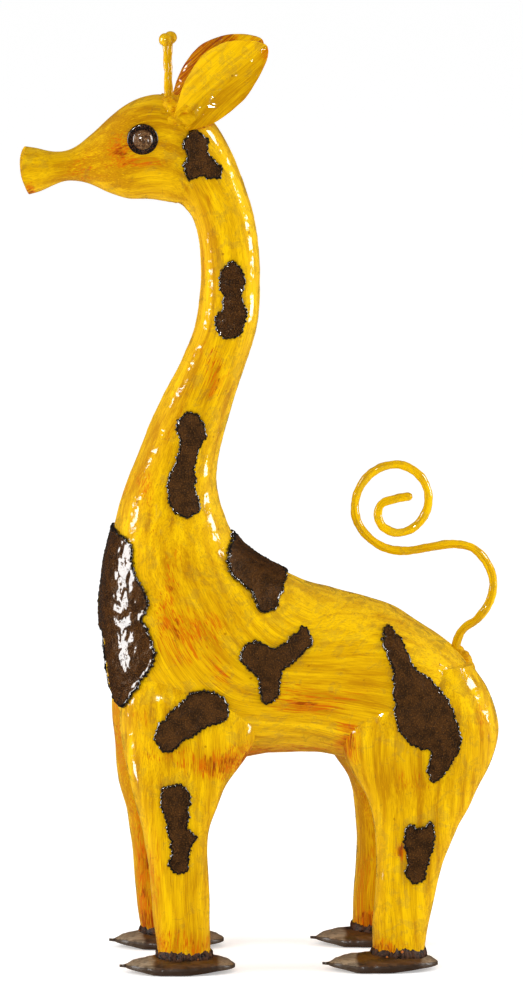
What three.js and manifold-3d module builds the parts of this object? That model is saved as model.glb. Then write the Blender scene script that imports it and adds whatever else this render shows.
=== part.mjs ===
// Hand-painted sheet-steel giraffe. Millimetres, +Z up, faces -X, its left flank is toward -Y.
import * as THREE from 'three';
import { mergeVertices } from 'three/addons/utils/BufferGeometryUtils.js';
import Module from 'manifold-3d';

const wasm = await Module();
wasm.setup();
const { Manifold, Mesh: SolidMesh } = wasm;

// shared sizes
const sheet = 1.4;
const clearance = 0.3;
const seamGap = 0.3;
const plateLift = 0.35;
const plateThickness = 1.7;
const aroundBody = 24;
const aroundLeg = 16;
const bodySquareness = 2.35;
const legSquareness = 2.9;
const noShift = [[0, 0], [203, 0]];

// Cross-sections of neck and torso, from the head joint to the rump:
// throat or belly x and z, nape or back x and z, half width
const bodyStations = [
  [-54, 521.5, -24, 567, 17.5],
  [-45, 512.5, -10, 534.5, 17.5],
  [-39.5, 492.5, -0.8, 499.5, 18],
  [-39, 461.5, 1.2, 463.5, 18.5],
  [-43, 436, -1, 436, 19.5],
  [-52.5, 412, -11, 404, 21],
  [-66.5, 385, -19, 379, 23],
  [-80.5, 352, -27, 348, 26],
  [-93, 319, -28.3, 328, 30],
  [-100, 291.5, -24, 308.5, 35],
  [-104.8, 264.5, -15.5, 290.5, 40],
  [-106.5, 242.5, 1.5, 275.5, 44],
  [-104.2, 214.5, 18, 267, 47],
  [-96.5, 180, 36, 259, 49],
  [-68, 149, 50, 255.5, 50],
  [-18, 143.5, 63, 251.5, 51],
  [22, 143.5, 78, 247.5, 51],
  [56, 143.5, 92, 242.5, 51],
  [87, 143, 106, 233.5, 50],
  [114, 142, 123, 219, 46],
  [137, 144, 137, 203.5, 39],
  [151, 151, 146.5, 188.5, 29],
  [158.5, 160, 155, 176.5, 16],
  [160, 167.5, 159.5, 171.5, 4],
];
const neckTorsoSeam = 10;

// Cross-sections of the head, from the open muzzle to the neck:
// jaw x and z, brow x and z, half width
const headStations = [
  [-155.5, 528.5, -158, 561, 15],
  [-148, 530.5, -151.5, 560, 13],
  [-134, 536.5, -137.5, 557.5, 10],
  [-126, 537.5, -127, 559, 11],
  [-115, 535.5, -113.5, 568, 14.5],
  [-101, 529, -100, 580.5, 18.5],
  [-88, 525, -86.5, 590.5, 21],
  [-73, 524.5, -72.5, 595.5, 21.5],
  [-61, 522.5, -57, 594.5, 20.5],
  [-56, 521.5, -38, 584.5, 19],
  [-54, 521.5, -24, 567, 17.5],
];
const mouthLip = 4.5;

// Leg cross-sections from the foot up: z, front x, rear x, inner y, outer y
const frontLegStations = [
  [15.5, -72, -36, 38, 62],
  [34, -74.5, -36.5, 37, 63],
  [52, -76, -36.5, 37, 63],
  [72, -78, -37.5, 36, 63],
  [86, -80, -38, 35, 63],
  [98, -82, -36.5, 33, 62.5],
  [112, -86, -31.5, 30, 62],
  [130, -90, -25, 26, 61],
  [147, -92, -16, 20, 59.5],
  [165, -92, -7, 16, 57],
  [185, -90, -8, 14, 53],
  [203, -84, -18, 12, 44],
];
const hindLegStations = [
  [15.5, 74.5, 110, 38, 62],
  [34, 75, 113.5, 37, 63],
  [52, 76.5, 117.5, 37, 63],
  [72, 77.5, 122.5, 36, 63],
  [88, 77, 129, 34, 63],
  [98, 76, 133.5, 32, 62.5],
  [110, 74, 140.5, 29, 62],
  [122, 70, 146, 26, 61],
  [135, 65.5, 152, 21, 60],
  [147, 61.5, 155, 16, 59],
  [165, 60, 157, 12, 57],
  [185, 67, 151, 10, 53],
  [203, 78, 140, 8, 44],
];
// how far the right legs stand ahead of the left ones: z and shift in x
const rightHindLegShift = [[0, -5.5], [116, -6.5], [203, -9]];
const rightFrontLegShift = [[0, -5.5], [116, -5.4], [150, -2.5], [203, 0]];

// Feet: length runs from the pointed toe to the round heel
const footLength = 79;
const footHalfWidth = 20;
const footRim = 2;
// share of the length and height, for the middle of the top and for the sole
const footTop = [
  [0, 5.2], [0.12, 7], [0.25, 9.2], [0.42, 10.8], [0.6, 12.6], [0.74, 10.8], [0.92, 7], [1, 5.2],
];
const footSole = [[0, 3.2], [0.08, 2.7], [0.19, 1.4], [0.28, 0], [0.6, 0], [0.84, 2.2], [1, 2.8]];
const frontToeX = -98;
const hindToeX = 40.5;
const footY = 50;
const rightFootShift = -1;

// Ears: share of the length, width above and below the midrib
const earBase = [-54, 578];
const earTip = [4, 630];
const earY = 15.5;
const earCup = 6;
const earSheet = 1.3;
const earSections = [
  [0, 7, 6],
  [0.12, 13, 12],
  [0.3, 20.5, 17],
  [0.55, 25, 18],
  [0.73, 21.5, 14.5],
  [0.9, 12.5, 8.5],
  [0.98, 5, 4],
];
const rightEarShift = -0.7;

// Horns: thin wire ending in a melted bead
const hornWire = 1.8;
const hornBead = 4.4;
const hornBeadZ = 634;
const hornFootZ = 585;
const hornX = { left: -62.8, right: -59.4 };
const hornY = 5.2;

// Eyes: washer with a domed rivet in its hole
const eyeX = -79.8;
const eyeZ = 568;
const eyeY = 20.7;
const washerRadius = 10.5;
const washerHole = 5.9;
const washerThickness = 1.6;
const rivetRadius = 6.8;

// Tail rod centreline, from the middle of the curl down to the rump
const tailRadius = 2.9;
const tailSteps = 56;
const tailPath = [
  [105.5, 318.2], [93.5, 316.2], [84.5, 312.7], [82, 305.2], [85.5, 297.2], [94.5, 293],
  [105.5, 295.7], [114.5, 306.2], [116.5, 319.2], [111, 331.7], [98.5, 339.5], [84.5, 338.2],
  [73, 329.7], [66.8, 316.2], [67.5, 302.2], [75, 290.7], [87.5, 282.4], [101.5, 280.4],
  [117.5, 282.7], [132.5, 284.7], [146, 282.2], [155.5, 273.2], [160.8, 260.2], [159, 245.7],
  [150.5, 233.2], [140.5, 225.7], [136, 216.7], [135.5, 203],
];

// Spot plates: outlines in x and z on the giraffe's left flank
const spotOutlines = {
  nape: [
    [-47, 573], [-40, 572], [-35, 565], [-36, 559], [-31, 554], [-26, 546], [-27, 540],
    [-35, 540], [-41, 542], [-48, 539], [-52, 547], [-50, 556], [-53, 565],
  ],
  upper_neck: [
    [-20, 484], [-12, 477], [-11, 469], [-13, 460], [-9, 449], [-11, 439], [-18, 430],
    [-26, 431], [-31, 442], [-25, 456], [-28, 471],
  ],
  mid_neck: [
    [-51, 381], [-42, 378], [-37, 367], [-43, 353], [-45, 332], [-42, 315], [-51, 309.5],
    [-61, 315], [-64.5, 331], [-60, 345], [-55, 359], [-58, 371],
  ],
  chest: [
    [-112, 303], [-98, 300], [-88.5, 291], [-85.5, 272], [-79, 261], [-77, 250], [-80, 242],
    [-74, 227], [-74, 211], [-82, 199], [-96, 181], [-99, 186], [-103, 212], [-105, 228],
    [-112, 234],
  ],
  withers: [
    [-20, 292], [-12, 297], [25, 277], [17, 264], [9, 247], [0, 245.5], [-9, 260],
    [-20, 269], [-24, 280],
  ],
  flank: [
    [-16, 216], [-13, 224], [-4, 227], [7, 222.5], [18, 228], [28, 235.5], [34, 226],
    [26, 216], [14, 207], [9, 187], [-1, 184.5], [-4, 200], [-13, 210],
  ],
  shoulder: [
    [-47, 194.5], [-28, 191], [-23, 181], [-27, 173], [-38, 170], [-46, 165], [-54, 161],
    [-60, 154], [-70, 154], [-74, 165], [-66, 178], [-55, 188],
  ],
  foreleg: [
    [-69, 128.5], [-57, 131.5], [-50, 124], [-51, 110], [-52, 102], [-46.5, 95], [-51, 85],
    [-53, 72], [-60, 69.5], [-66, 75], [-64, 86], [-67, 103], [-71, 120],
  ],
  haunch: [
    [86, 235], [96, 223], [104, 208], [120, 194], [129, 180], [134.5, 157], [125, 138],
    [116, 129.5], [111, 139], [113, 151], [101, 155], [92, 166], [89, 182], [87.5, 207],
    [81, 226],
  ],
  hind_leg: [
    [99, 102.5], [107, 99], [113, 103.5], [117, 94], [113, 79], [109, 64], [102, 60.5],
    [96, 68], [97, 79], [95, 89],
  ],
};
const centreCrossing = 3;

const paint = { colour: 0xe3ad0c, roughness: 0.35, metalness: 0.0 };
const legPaint = { colour: 0xdca20c, roughness: 0.35, metalness: 0.0 };
const plateBrown = { colour: 0x3b2412, roughness: 0.35, metalness: 0.1 };
const footBrown = { colour: 0x4a2e17, roughness: 0.45, metalness: 0.1 };
const weldBrown = { colour: 0x5c3312, roughness: 0.7, metalness: 0.1 };
const weldYellow = { colour: 0xd79c10, roughness: 0.45, metalness: 0.0 };
const eyeBrown = { colour: 0x4a3220, roughness: 0.3, metalness: 0.2 };

// Geometry helpers

function solidOf(geometry) {
  const bare = geometry.clone();
  bare.deleteAttribute('uv');
  bare.deleteAttribute('normal');
  const merged = mergeVertices(bare, 1e-4);
  return new Manifold(new SolidMesh({
    numProp: 3,
    vertProperties: new Float32Array(merged.attributes.position.array),
    triVerts: new Uint32Array(merged.index.array),
  }));
}

function geometryOf(solid) {
  const mesh = solid.getMesh();
  const geometry = new THREE.BufferGeometry();
  geometry.setAttribute('position', new THREE.BufferAttribute(mesh.vertProperties, 3));
  geometry.setIndex(new THREE.BufferAttribute(mesh.triVerts, 1));
  geometry.computeVertexNormals();
  return geometry;
}

function signedVolume(points, faces) {
  const total = faces.reduce((sum, [a, b, c]) => {
    const cross = new THREE.Vector3().crossVectors(points[b], points[c]);
    return sum + points[a].dot(cross);
  }, 0);
  return total / 6;
}

// closed skin over a row of rings, each end fanned to its middle
function skinRings(rings) {
  const count = rings[0].length;
  const points = rings.flat();
  const faces = [];
  for (let row = 0; row + 1 < rings.length; row += 1) {
    for (let step = 0; step < count; step += 1) {
      const here = row * count + step;
      const next = row * count + (step + 1) % count;
      faces.push([here, next, next + count]);
      faces.push([here, next + count, here + count]);
    }
  }
  [0, rings.length - 1].forEach((row) => {
    const middle = new THREE.Vector3();
    rings[row].forEach((point) => middle.addScaledVector(point, 1 / count));
    const hub = points.push(middle) - 1;
    for (let step = 0; step < count; step += 1) {
      const here = row * count + step;
      const next = row * count + (step + 1) % count;
      faces.push(row === 0 ? [hub, next, here] : [hub, here, next]);
    }
  });
  const inward = signedVolume(points, faces) < 0;
  const geometry = new THREE.BufferGeometry();
  const flat = points.flatMap((point) => [point.x, point.y, point.z]);
  geometry.setAttribute('position', new THREE.Float32BufferAttribute(flat, 3));
  geometry.setIndex(faces.flatMap(([a, b, c]) => (inward ? [a, c, b] : [a, b, c])));
  return geometry;
}

function roundedPower(value, squareness) {
  return Math.sign(value) * Math.abs(value) ** (2 / squareness);
}

// one lofted body part: a ring at 'from', at 'to' and at each station between, moved out by 'grow'
function loft(stations, { from, to, grow = 0, around, lip = 0 }) {
  const low = new THREE.CatmullRomCurve3(
    stations.map(([x, z]) => new THREE.Vector3(x, 0, z)), false, 'centripetal');
  const high = new THREE.CatmullRomCurve3(
    stations.map(([, , x, z, half]) => new THREE.Vector3(x, half, z)), false, 'centripetal');
  const last = stations.length - 1;
  const places = stations.map((station, index) => index).filter((at) => at > from && at < to);
  const rings = [from, ...places, to].map((place) => {
    const share = place / last;
    const lowPoint = low.getPoint(share);
    const highPoint = high.getPoint(share);
    const halfWidth = highPoint.y + grow;
    highPoint.y = 0;
    const middle = lowPoint.clone().add(highPoint).multiplyScalar(0.5);
    const upward = highPoint.clone().sub(middle);
    const halfHeight = upward.length() + grow;
    upward.normalize();
    const forward = new THREE.Vector3(upward.z, 0, -upward.x);
    const lipHere = lip * Math.max(0, 1 - share * last);
    const ring = [];
    for (let step = 0; step < around; step += 1) {
      const angle = 2 * Math.PI * step / around;
      const side = roundedPower(Math.sin(angle), bodySquareness);
      const point = middle.clone();
      point.addScaledVector(upward, halfHeight * roundedPower(Math.cos(angle), bodySquareness));
      point.addScaledVector(forward, -lipHere * side * side);
      point.y = halfWidth * side;
      ring.push(point);
    }
    return ring;
  });
  return solidOf(skinRings(rings));
}

// value at 'place' read from a table of place and value
function readTable(table, place) {
  const next = Math.max(1, table.findIndex(([at]) => at >= place));
  const [fromPlace, fromValue] = table[next - 1];
  const [toPlace, toValue] = table[next];
  return fromValue + (toValue - fromValue) * (place - fromPlace) / (toPlace - fromPlace);
}

// one leg, 'side' is -1 for left and 1 for right
function legSolid(stations, side, shift, grow, footExtra) {
  const rings = stations.map(([z, front, rear, inner, outer], row) => {
    const middleX = (front + rear) / 2 + readTable(shift, z);
    const middleY = side * (inner + outer) / 2;
    const ring = [];
    for (let step = 0; step < aroundLeg; step += 1) {
      const angle = 2 * Math.PI * step / aroundLeg;
      ring.push(new THREE.Vector3(
        middleX + ((rear - front) / 2 + grow) * roundedPower(Math.cos(angle), legSquareness),
        middleY + ((outer - inner) / 2 + grow) * roundedPower(Math.sin(angle), legSquareness),
        row === 0 ? z - footExtra : z,
      ));
    }
    return ring;
  });
  return solidOf(skinRings(rings));
}

function box(minimum, maximum) {
  const size = maximum.map((value, axis) => value - minimum[axis]);
  const geometry = new THREE.BoxGeometry(...size);
  geometry.translate(...maximum.map((value, axis) => (value + minimum[axis]) / 2));
  return solidOf(geometry);
}

const reach = 700;
const leftHalf = box([-reach, -reach, -reach], [reach, -seamGap / 2, reach]);
const rightHalf = box([-reach, seamGap / 2, -reach], [reach, reach, reach]);

const bodyEnd = bodyStations.length - 1;
const headEnd = headStations.length - 1;

function bodyLoft(from, to, grow) {
  return loft(bodyStations, { from, to, grow, around: aroundBody });
}

function headLoft(from, to, grow) {
  return loft(headStations, { from, to, grow, around: aroundBody, lip: mouthLip });
}

function torsoAndNeck(grow) {
  return bodyLoft(0, bodyEnd, grow);
}

// the whole outer skin on one side, used to lay the spot plates on
function flankSkin(side, grow) {
  return Manifold.union([
    torsoAndNeck(grow),
    headLoft(0, headEnd, grow),
    legSolid(frontLegStations, side, side < 0 ? noShift : rightFrontLegShift, grow, 0),
    legSolid(hindLegStations, side, side < 0 ? noShift : rightHindLegShift, grow, 0),
  ]);
}

// the main body of a cut solid, without its offcuts
function mainPiece(solid) {
  return solid.decompose().sort((a, b) => b.volume() - a.volume())[0];
}

// Assembly

const giraffe = new THREE.Group();
giraffe.name = 'painted_steel_giraffe';

function addPart(name, solid, look) {
  const material = new THREE.MeshStandardMaterial({
    color: look.colour,
    roughness: look.roughness,
    metalness: look.metalness,
  });
  const mesh = new THREE.Mesh(geometryOf(mainPiece(solid)), material);
  mesh.name = name;
  giraffe.add(mesh);
}

// head, neck and torso: left and right half shells of folded sheet
const jointShare = 0.012;
const hollow = {
  head: headLoft(0, headEnd, -sheet),
  neck: bodyLoft(0, neckTorsoSeam, -sheet),
  torso: bodyLoft(neckTorsoSeam - 0.5, bodyEnd - 1.4, -sheet),
};
const whole = {
  head: headLoft(0, headEnd - jointShare, 0),
  neck: bodyLoft(jointShare, neckTorsoSeam - jointShare, 0),
  torso: bodyLoft(neckTorsoSeam + jointShare, bodyEnd, 0),
};
const mouthAndJointClear = {
  head: [headLoft(0, 0.4, -sheet).translate([-2, 0, 0]), bodyLoft(0, 0.5, -sheet)],
  neck: [
    headLoft(headEnd - 0.5, headEnd, -sheet),
    bodyLoft(neckTorsoSeam - 1, neckTorsoSeam + 1, -sheet),
  ],
  torso: [bodyLoft(neckTorsoSeam - 1, neckTorsoSeam + 1, -sheet)],
};
Object.keys(whole).forEach((region) => {
  const hollowed = mouthAndJointClear[region].reduce(
    (solid, cutter) => solid.subtract(cutter),
    whole[region].subtract(hollow[region]),
  );
  addPart(`${region}_shell_left`, hollowed.intersect(leftHalf), paint);
  addPart(`${region}_shell_right`, hollowed.intersect(rightHalf), paint);
});

// legs: folded sheet tubes, notched round the torso
const torsoClear = torsoAndNeck(clearance);
[
  ['leg_front_left', frontLegStations, -1, noShift],
  ['leg_front_right', frontLegStations, 1, rightFrontLegShift],
  ['leg_hind_left', hindLegStations, -1, noShift],
  ['leg_hind_right', hindLegStations, 1, rightHindLegShift],
].forEach(([name, stations, side, shift]) => {
  const outside = legSolid(stations, side, shift, 0, 0);
  const coarse = stations.filter((station, row) => row % 2 === 0 || row === stations.length - 1);
  const inside = legSolid(coarse, side, shift, -sheet, 4);
  addPart(name, outside.subtract(inside).subtract(torsoClear), legPaint);
});

// feet: leaf-shaped pads with a domed top, pointed toe and flat sole
function footHalf(share) {
  const toe = Math.min(1, share / 0.12);
  const heel = Math.sqrt(Math.max(0, 1 - ((share - 0.45) / 0.55) ** 2));
  const front = Math.sin(Math.min(1, share / 0.45) * Math.PI / 2) ** 0.85;
  return footHalfWidth * (share < 0.45 ? front * (0.55 + 0.45 * toe) : heel);
}

function footSolid(grow) {
  const shares = [0.004, 0.04, 0.1, 0.2, 0.32, 0.45, 0.6, 0.75, 0.87, 0.95, 0.985, 0.999];
  const crossSteps = 6;
  const rings = shares.map((share) => {
    const half = footHalf(share) + grow;
    const sole = readTable(footSole, share);
    const crown = readTable(footTop, share) - sole - footRim;
    const ring = [];
    for (let step = 0; step <= crossSteps; step += 1) {
      const across = -1 + 2 * step / crossSteps;
      const lift = sole + footRim + crown * (1 - across * across) ** 0.6 + grow;
      ring.push(new THREE.Vector3(share * footLength, across * half, lift));
    }
    ring.push(new THREE.Vector3(share * footLength, half, sole));
    ring.push(new THREE.Vector3(share * footLength, -half, sole));
    return ring;
  });
  return solidOf(skinRings(rings));
}

// lumpy blob made from a sphere, used for weld metal
function lump(centre, radii, seed, detail = 1) {
  const geometry = new THREE.IcosahedronGeometry(1, detail);
  const position = geometry.attributes.position;
  const point = new THREE.Vector3();
  for (let index = 0; index < position.count; index += 1) {
    point.fromBufferAttribute(position, index);
    const wave = Math.sin(5 * point.x + seed) * Math.cos(4 * point.y + 2 * seed)
      + Math.sin(6 * point.z + 3 * seed);
    point.multiplyScalar(1 + 0.07 * wave);
    point.multiply(new THREE.Vector3(...radii));
    position.setXYZ(index, point.x + centre[0], point.y + centre[1], point.z + centre[2]);
  }
  return solidOf(geometry);
}

[
  ['front_left', frontToeX, -1, noShift, frontLegStations],
  ['front_right', frontToeX + rightFootShift, 1, rightFrontLegShift, frontLegStations],
  ['hind_left', hindToeX, -1, noShift, hindLegStations],
  ['hind_right', hindToeX + rightFootShift, 1, rightHindLegShift, hindLegStations],
].forEach(([name, toeX, side, shift, stations], index) => {
  const place = [toeX, side * footY, 0];
  addPart(`foot_${name}`, footSolid(0).translate(place), footBrown);
  const [, front, rear, inner, outer] = stations[0];
  const centre = [(front + rear) / 2 + readTable(shift, 0), side * (inner + outer) / 2, 13.5];
  const bead = lump(centre, [(rear - front) / 2 + 2.5, (outer - inner) / 2 + 2.5, 6], index, 2);
  const legClear = legSolid(stations, side, shift, clearance, clearance);
  const weld = bead.subtract(footSolid(clearance).translate(place)).subtract(legClear);
  addPart(`foot_weld_${name}`, weld, weldBrown);
});

// ears: cupped leaves with their hollow side out
function earSolid(side, shift, grow) {
  const base = new THREE.Vector3(earBase[0] + shift, side * earY, earBase[1]);
  const along = new THREE.Vector3(earTip[0] - earBase[0], 0, earTip[1] - earBase[1]);
  const above = new THREE.Vector3(-along.z, 0, along.x).normalize();
  const widths = new THREE.CatmullRomCurve3(
    earSections.map(([share, up, down]) => new THREE.Vector3(share, up, down)));
  const rows = 9;
  const halfSteps = 3;
  const rings = [];
  for (let row = 0; row <= rows; row += 1) {
    const section = widths.getPoint(row / rows);
    const middle = base.clone().addScaledVector(along, section.x);
    const ring = [];
    [1, -1].forEach((face) => {
      for (let step = -halfSteps; step <= halfSteps; step += 1) {
        const across = face * step / halfSteps;
        const width = (across > 0 ? section.y : section.z) + grow;
        const point = middle.clone().addScaledVector(above, across * width);
        const cup = earCup * across * across * Math.sin(Math.PI * Math.min(1, section.x + 0.25));
        point.y += side * (cup + face * (earSheet / 2 + grow));
        ring.push(point);
      }
    });
    rings.push(ring);
  }
  return solidOf(skinRings(rings));
}

const headClear = headLoft(0, headEnd, clearance).add(torsoAndNeck(clearance));

function hornSolid(side, grow) {
  const x = side < 0 ? hornX.left : hornX.right;
  const profile = [new THREE.Vector2(0, hornFootZ)];
  profile.push(new THREE.Vector2(hornWire + grow, hornFootZ));
  profile.push(new THREE.Vector2(hornWire + grow, hornBeadZ - 9));
  const beadSteps = 6;
  for (let step = 0; step <= beadSteps; step += 1) {
    const angle = -0.9 + (Math.PI / 2 + 0.9) * step / beadSteps;
    const radius = step === beadSteps ? 0 : hornBead * Math.cos(angle) + grow;
    profile.push(new THREE.Vector2(radius, hornBeadZ + (hornBead + grow) * Math.sin(angle)));
  }
  const geometry = new THREE.LatheGeometry(profile, 12);
  geometry.rotateX(Math.PI / 2);
  geometry.translate(x, side * hornY, 0);
  return solidOf(geometry);
}

[['left', -1, 0], ['right', 1, rightEarShift]].forEach(([name, side, shift]) => {
  const horn = hornSolid(side, 0);
  addPart(`horn_${name}`, horn.subtract(headClear), paint);
  const ear = earSolid(side, shift, 0).subtract(headClear);
  addPart(`ear_${name}`, ear, paint);
  const metal = Manifold.union([
    lump([-58 + shift / 2, side * 10, 589], [10, 7, 8], 1.3 + side),
    lump([-48 + shift, side * earY, 582], [9, 5, 6], 2.1 + side),
  ]);
  const clear = Manifold.union([
    headClear, hornSolid(-1, clearance), hornSolid(1, clearance), earSolid(side, shift, clearance),
  ]);
  const halfSpace = side < 0 ? leftHalf : rightHalf;
  addPart(`ear_weld_${name}`, metal.subtract(clear).intersect(halfSpace), weldYellow);
});

// eyes: a washer and a domed rivet on each cheek
function lathedAlongY(profile, side, steps) {
  const geometry = new THREE.LatheGeometry(
    profile.map(([radius, height]) => new THREE.Vector2(radius, height)), steps);
  if (side < 0) {
    geometry.rotateX(Math.PI);
  }
  geometry.translate(eyeX, side * eyeY, eyeZ);
  return solidOf(geometry);
}

[['left', -1], ['right', 1]].forEach(([name, side]) => {
  const top = washerThickness;
  const washer = lathedAlongY([
    [washerHole, 0], [washerRadius, 0], [washerRadius, top - 0.4], [washerRadius - 0.6, top],
    [washerHole + 0.4, top], [washerHole, top - 0.4], [washerHole, 0],
  ], side, 20);
  addPart(`eye_washer_${name}`, washer.subtract(headClear), eyeBrown);
  const shank = washerHole - clearance;
  const seat = top + clearance;
  const rivet = lathedAlongY([
    [0, 0], [shank, 0], [shank, seat], [rivetRadius, seat], [rivetRadius * 0.93, seat + 1.6],
    [rivetRadius * 0.72, seat + 2.8], [rivetRadius * 0.4, seat + 3.5], [0, seat + 3.7],
  ], side, 16);
  addPart(`eye_rivet_${name}`, rivet.subtract(headClear), eyeBrown);
});

// tail: bent round bar with a curl, welded to the rump
function tailSolid(grow) {
  const circle = new THREE.Shape();
  circle.absarc(0, 0, tailRadius + grow, 0, 2 * Math.PI);
  const path = new THREE.CatmullRomCurve3(tailPath.map(([x, z]) => new THREE.Vector3(x, 0, z)));
  const geometry = new THREE.ExtrudeGeometry(circle, {
    extrudePath: path, steps: tailSteps, curveSegments: 4, bevelEnabled: false,
  });
  return solidOf(geometry);
}

addPart('tail_rod', tailSolid(0).subtract(torsoClear), paint);
const tailBead = lump([141, 0, 203.5], [8.5, 8, 9], 0.6, 2);
addPart('tail_weld', tailBead.subtract(torsoClear).subtract(tailSolid(clearance)), weldYellow);

// spot plates: torch-cut sheet laid on the skin
function prism(outline, nearY, farY, shift) {
  const shape = new THREE.Shape(outline.map(([x, z]) => new THREE.Vector2(x + shift, z)));
  const geometry = new THREE.ExtrudeGeometry(shape, { depth: farY - nearY, bevelEnabled: false });
  geometry.rotateX(Math.PI / 2);
  geometry.translate(0, farY, 0);
  return solidOf(geometry);
}

const spotReach = 90;
const legMiddle = 48;
const leftLimit = {
  chest: centreCrossing, withers: centreCrossing, foreleg: -legMiddle, hind_leg: -legMiddle,
};
const rightSpotShift = { foreleg: -5.5, hind_leg: -6 };
const underPlate = { left: flankSkin(-1, plateLift), right: flankSkin(1, plateLift) };
const overPlate = {
  left: flankSkin(-1, plateLift + plateThickness),
  right: flankSkin(1, plateLift + plateThickness),
};

Object.entries(spotOutlines).forEach(([name, outline]) => {
  const left = prism(outline, -spotReach, leftLimit[name] ?? -centreCrossing, 0);
  const leftPlate = left.intersect(overPlate.left).subtract(underPlate.left);
  addPart(`spot_${name}_left`, leftPlate, plateBrown);
  const rightStart = Math.max(centreCrossing + 2, -(leftLimit[name] ?? 0));
  const right = prism(outline, rightStart, spotReach, rightSpotShift[name] ?? 0);
  const rightPlate = right.intersect(overPlate.right).subtract(underPlate.right);
  addPart(`spot_${name}_right`, rightPlate, plateBrown);
});

// origin: middle of the footprint, on the ground
const bounds = new THREE.Box3().setFromObject(giraffe);
const middle = bounds.getCenter(new THREE.Vector3());
giraffe.children.forEach((mesh) => mesh.geometry.translate(-middle.x, -middle.y, -bounds.min.z));

export default giraffe;
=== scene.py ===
import math
import random
import bmesh
import bpy
import numpy as np
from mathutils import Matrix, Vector, geometry, noise
from mathutils.bvhtree import BVHTree


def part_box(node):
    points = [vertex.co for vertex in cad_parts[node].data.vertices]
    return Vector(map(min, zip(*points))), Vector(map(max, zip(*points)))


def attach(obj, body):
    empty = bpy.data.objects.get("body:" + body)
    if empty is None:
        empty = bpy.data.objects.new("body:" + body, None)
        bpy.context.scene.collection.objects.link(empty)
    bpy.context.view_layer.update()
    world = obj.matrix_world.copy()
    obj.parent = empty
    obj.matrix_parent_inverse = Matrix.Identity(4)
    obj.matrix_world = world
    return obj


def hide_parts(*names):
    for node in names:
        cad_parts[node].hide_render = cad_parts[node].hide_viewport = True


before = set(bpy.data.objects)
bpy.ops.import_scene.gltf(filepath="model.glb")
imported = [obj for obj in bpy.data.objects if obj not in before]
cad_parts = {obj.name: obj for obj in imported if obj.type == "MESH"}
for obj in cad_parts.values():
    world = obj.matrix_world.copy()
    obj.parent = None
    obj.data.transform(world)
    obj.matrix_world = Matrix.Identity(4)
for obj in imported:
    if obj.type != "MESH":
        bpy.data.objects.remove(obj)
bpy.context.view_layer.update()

mm = 0.001
sides = {"left": -1, "right": 1}


def boxCentre(node):
    low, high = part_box(node)
    return [(a + b) / 2 / mm for a, b in zip(low, high)]


# the horn's own place in the shape tables gives the shift between tables and frame
horn = {
    "wire": 1.8, "bead": 4.4, "beadZ": 633.95, "footZ": 582.0, "y": 5.2,
    "x": {"left": -62.8, "right": -59.4},
}
shiftX = boxCentre("horn_left")[0] - horn["x"]["left"]


def stepBetween(low, high, value):
    share = np.clip((np.asarray(value, float) - low) / (high - low), 0, 1)
    return share * share * (3 - 2 * share)


def lumpy(points, size, seed):
    place = Vector((seed * 7.31, seed * 3.17, seed * 5.73))
    flat = np.asarray(points, float).reshape(-1, 3)
    values = [noise.noise(Vector(p) / size + place) for p in flat]
    return np.array(values).reshape(np.asarray(points).shape[:-1])


# curve through every point, sampled at 'places' counted in points
def curveThrough(points, places):
    points = np.asarray(points, float)
    first = 2 * points[0] - points[1]
    last = 2 * points[-1] - points[-2]
    padded = np.vstack([first, points, last])
    places = np.asarray(places, float)
    index = np.clip(places.astype(int), 0, len(points) - 2)
    weight = (places - index)[:, None]
    p0, p1, p2, p3 = (padded[index + k] for k in range(4))

    def gap(a, b):
        return np.maximum(np.sqrt(np.linalg.norm(b - a, axis=1)), 1e-4)[:, None]

    g0, g1, g2 = gap(p0, p1), gap(p1, p2), gap(p2, p3)
    m1 = ((p1 - p0) / g0 - (p2 - p0) / (g0 + g1) + (p2 - p1) / g1) * g1
    m2 = ((p2 - p1) / g1 - (p3 - p1) / (g1 + g2) + (p3 - p2) / g2) * g1
    c2 = -3 * p1 + 3 * p2 - 2 * m1 - m2
    c3 = 2 * p1 - 2 * p2 + m1 + m2
    return p1 + m1 * weight + c2 * weight ** 2 + c3 * weight ** 3


def rowPlaces(points, step):
    points = np.asarray(points, float)
    places = []
    for index in range(len(points) - 1):
        count = max(1, math.ceil(np.linalg.norm(points[index + 1] - points[index]) / step))
        places += [index + k / count for k in range(count)]
    return np.array(places + [len(points) - 1.0])


# length along a line up to each of its points
def travelled(points):
    return np.concatenate([[0], np.cumsum(np.linalg.norm(np.diff(points, axis=0), axis=1))])


def roundedPower(values, squareness):
    return np.sign(values) * np.abs(values) ** (2 / squareness)


def unit(vectors):
    length = np.linalg.norm(vectors, axis=-1, keepdims=True)
    return vectors / np.maximum(length, 1e-9)


# outward normals of a grid of rings
def gridNormals(grid, closed):
    if closed:
        around = np.roll(grid, -1, 1) - np.roll(grid, 1, 1)
    else:
        around = np.gradient(grid, axis=1)
    along = np.gradient(grid, axis=0)
    normals = unit(np.cross(along, around))
    outward = grid - grid.mean(axis=1, keepdims=True)
    if (normals * outward).sum() < 0:
        normals = -normals
    return normals


pieces = {}


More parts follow.
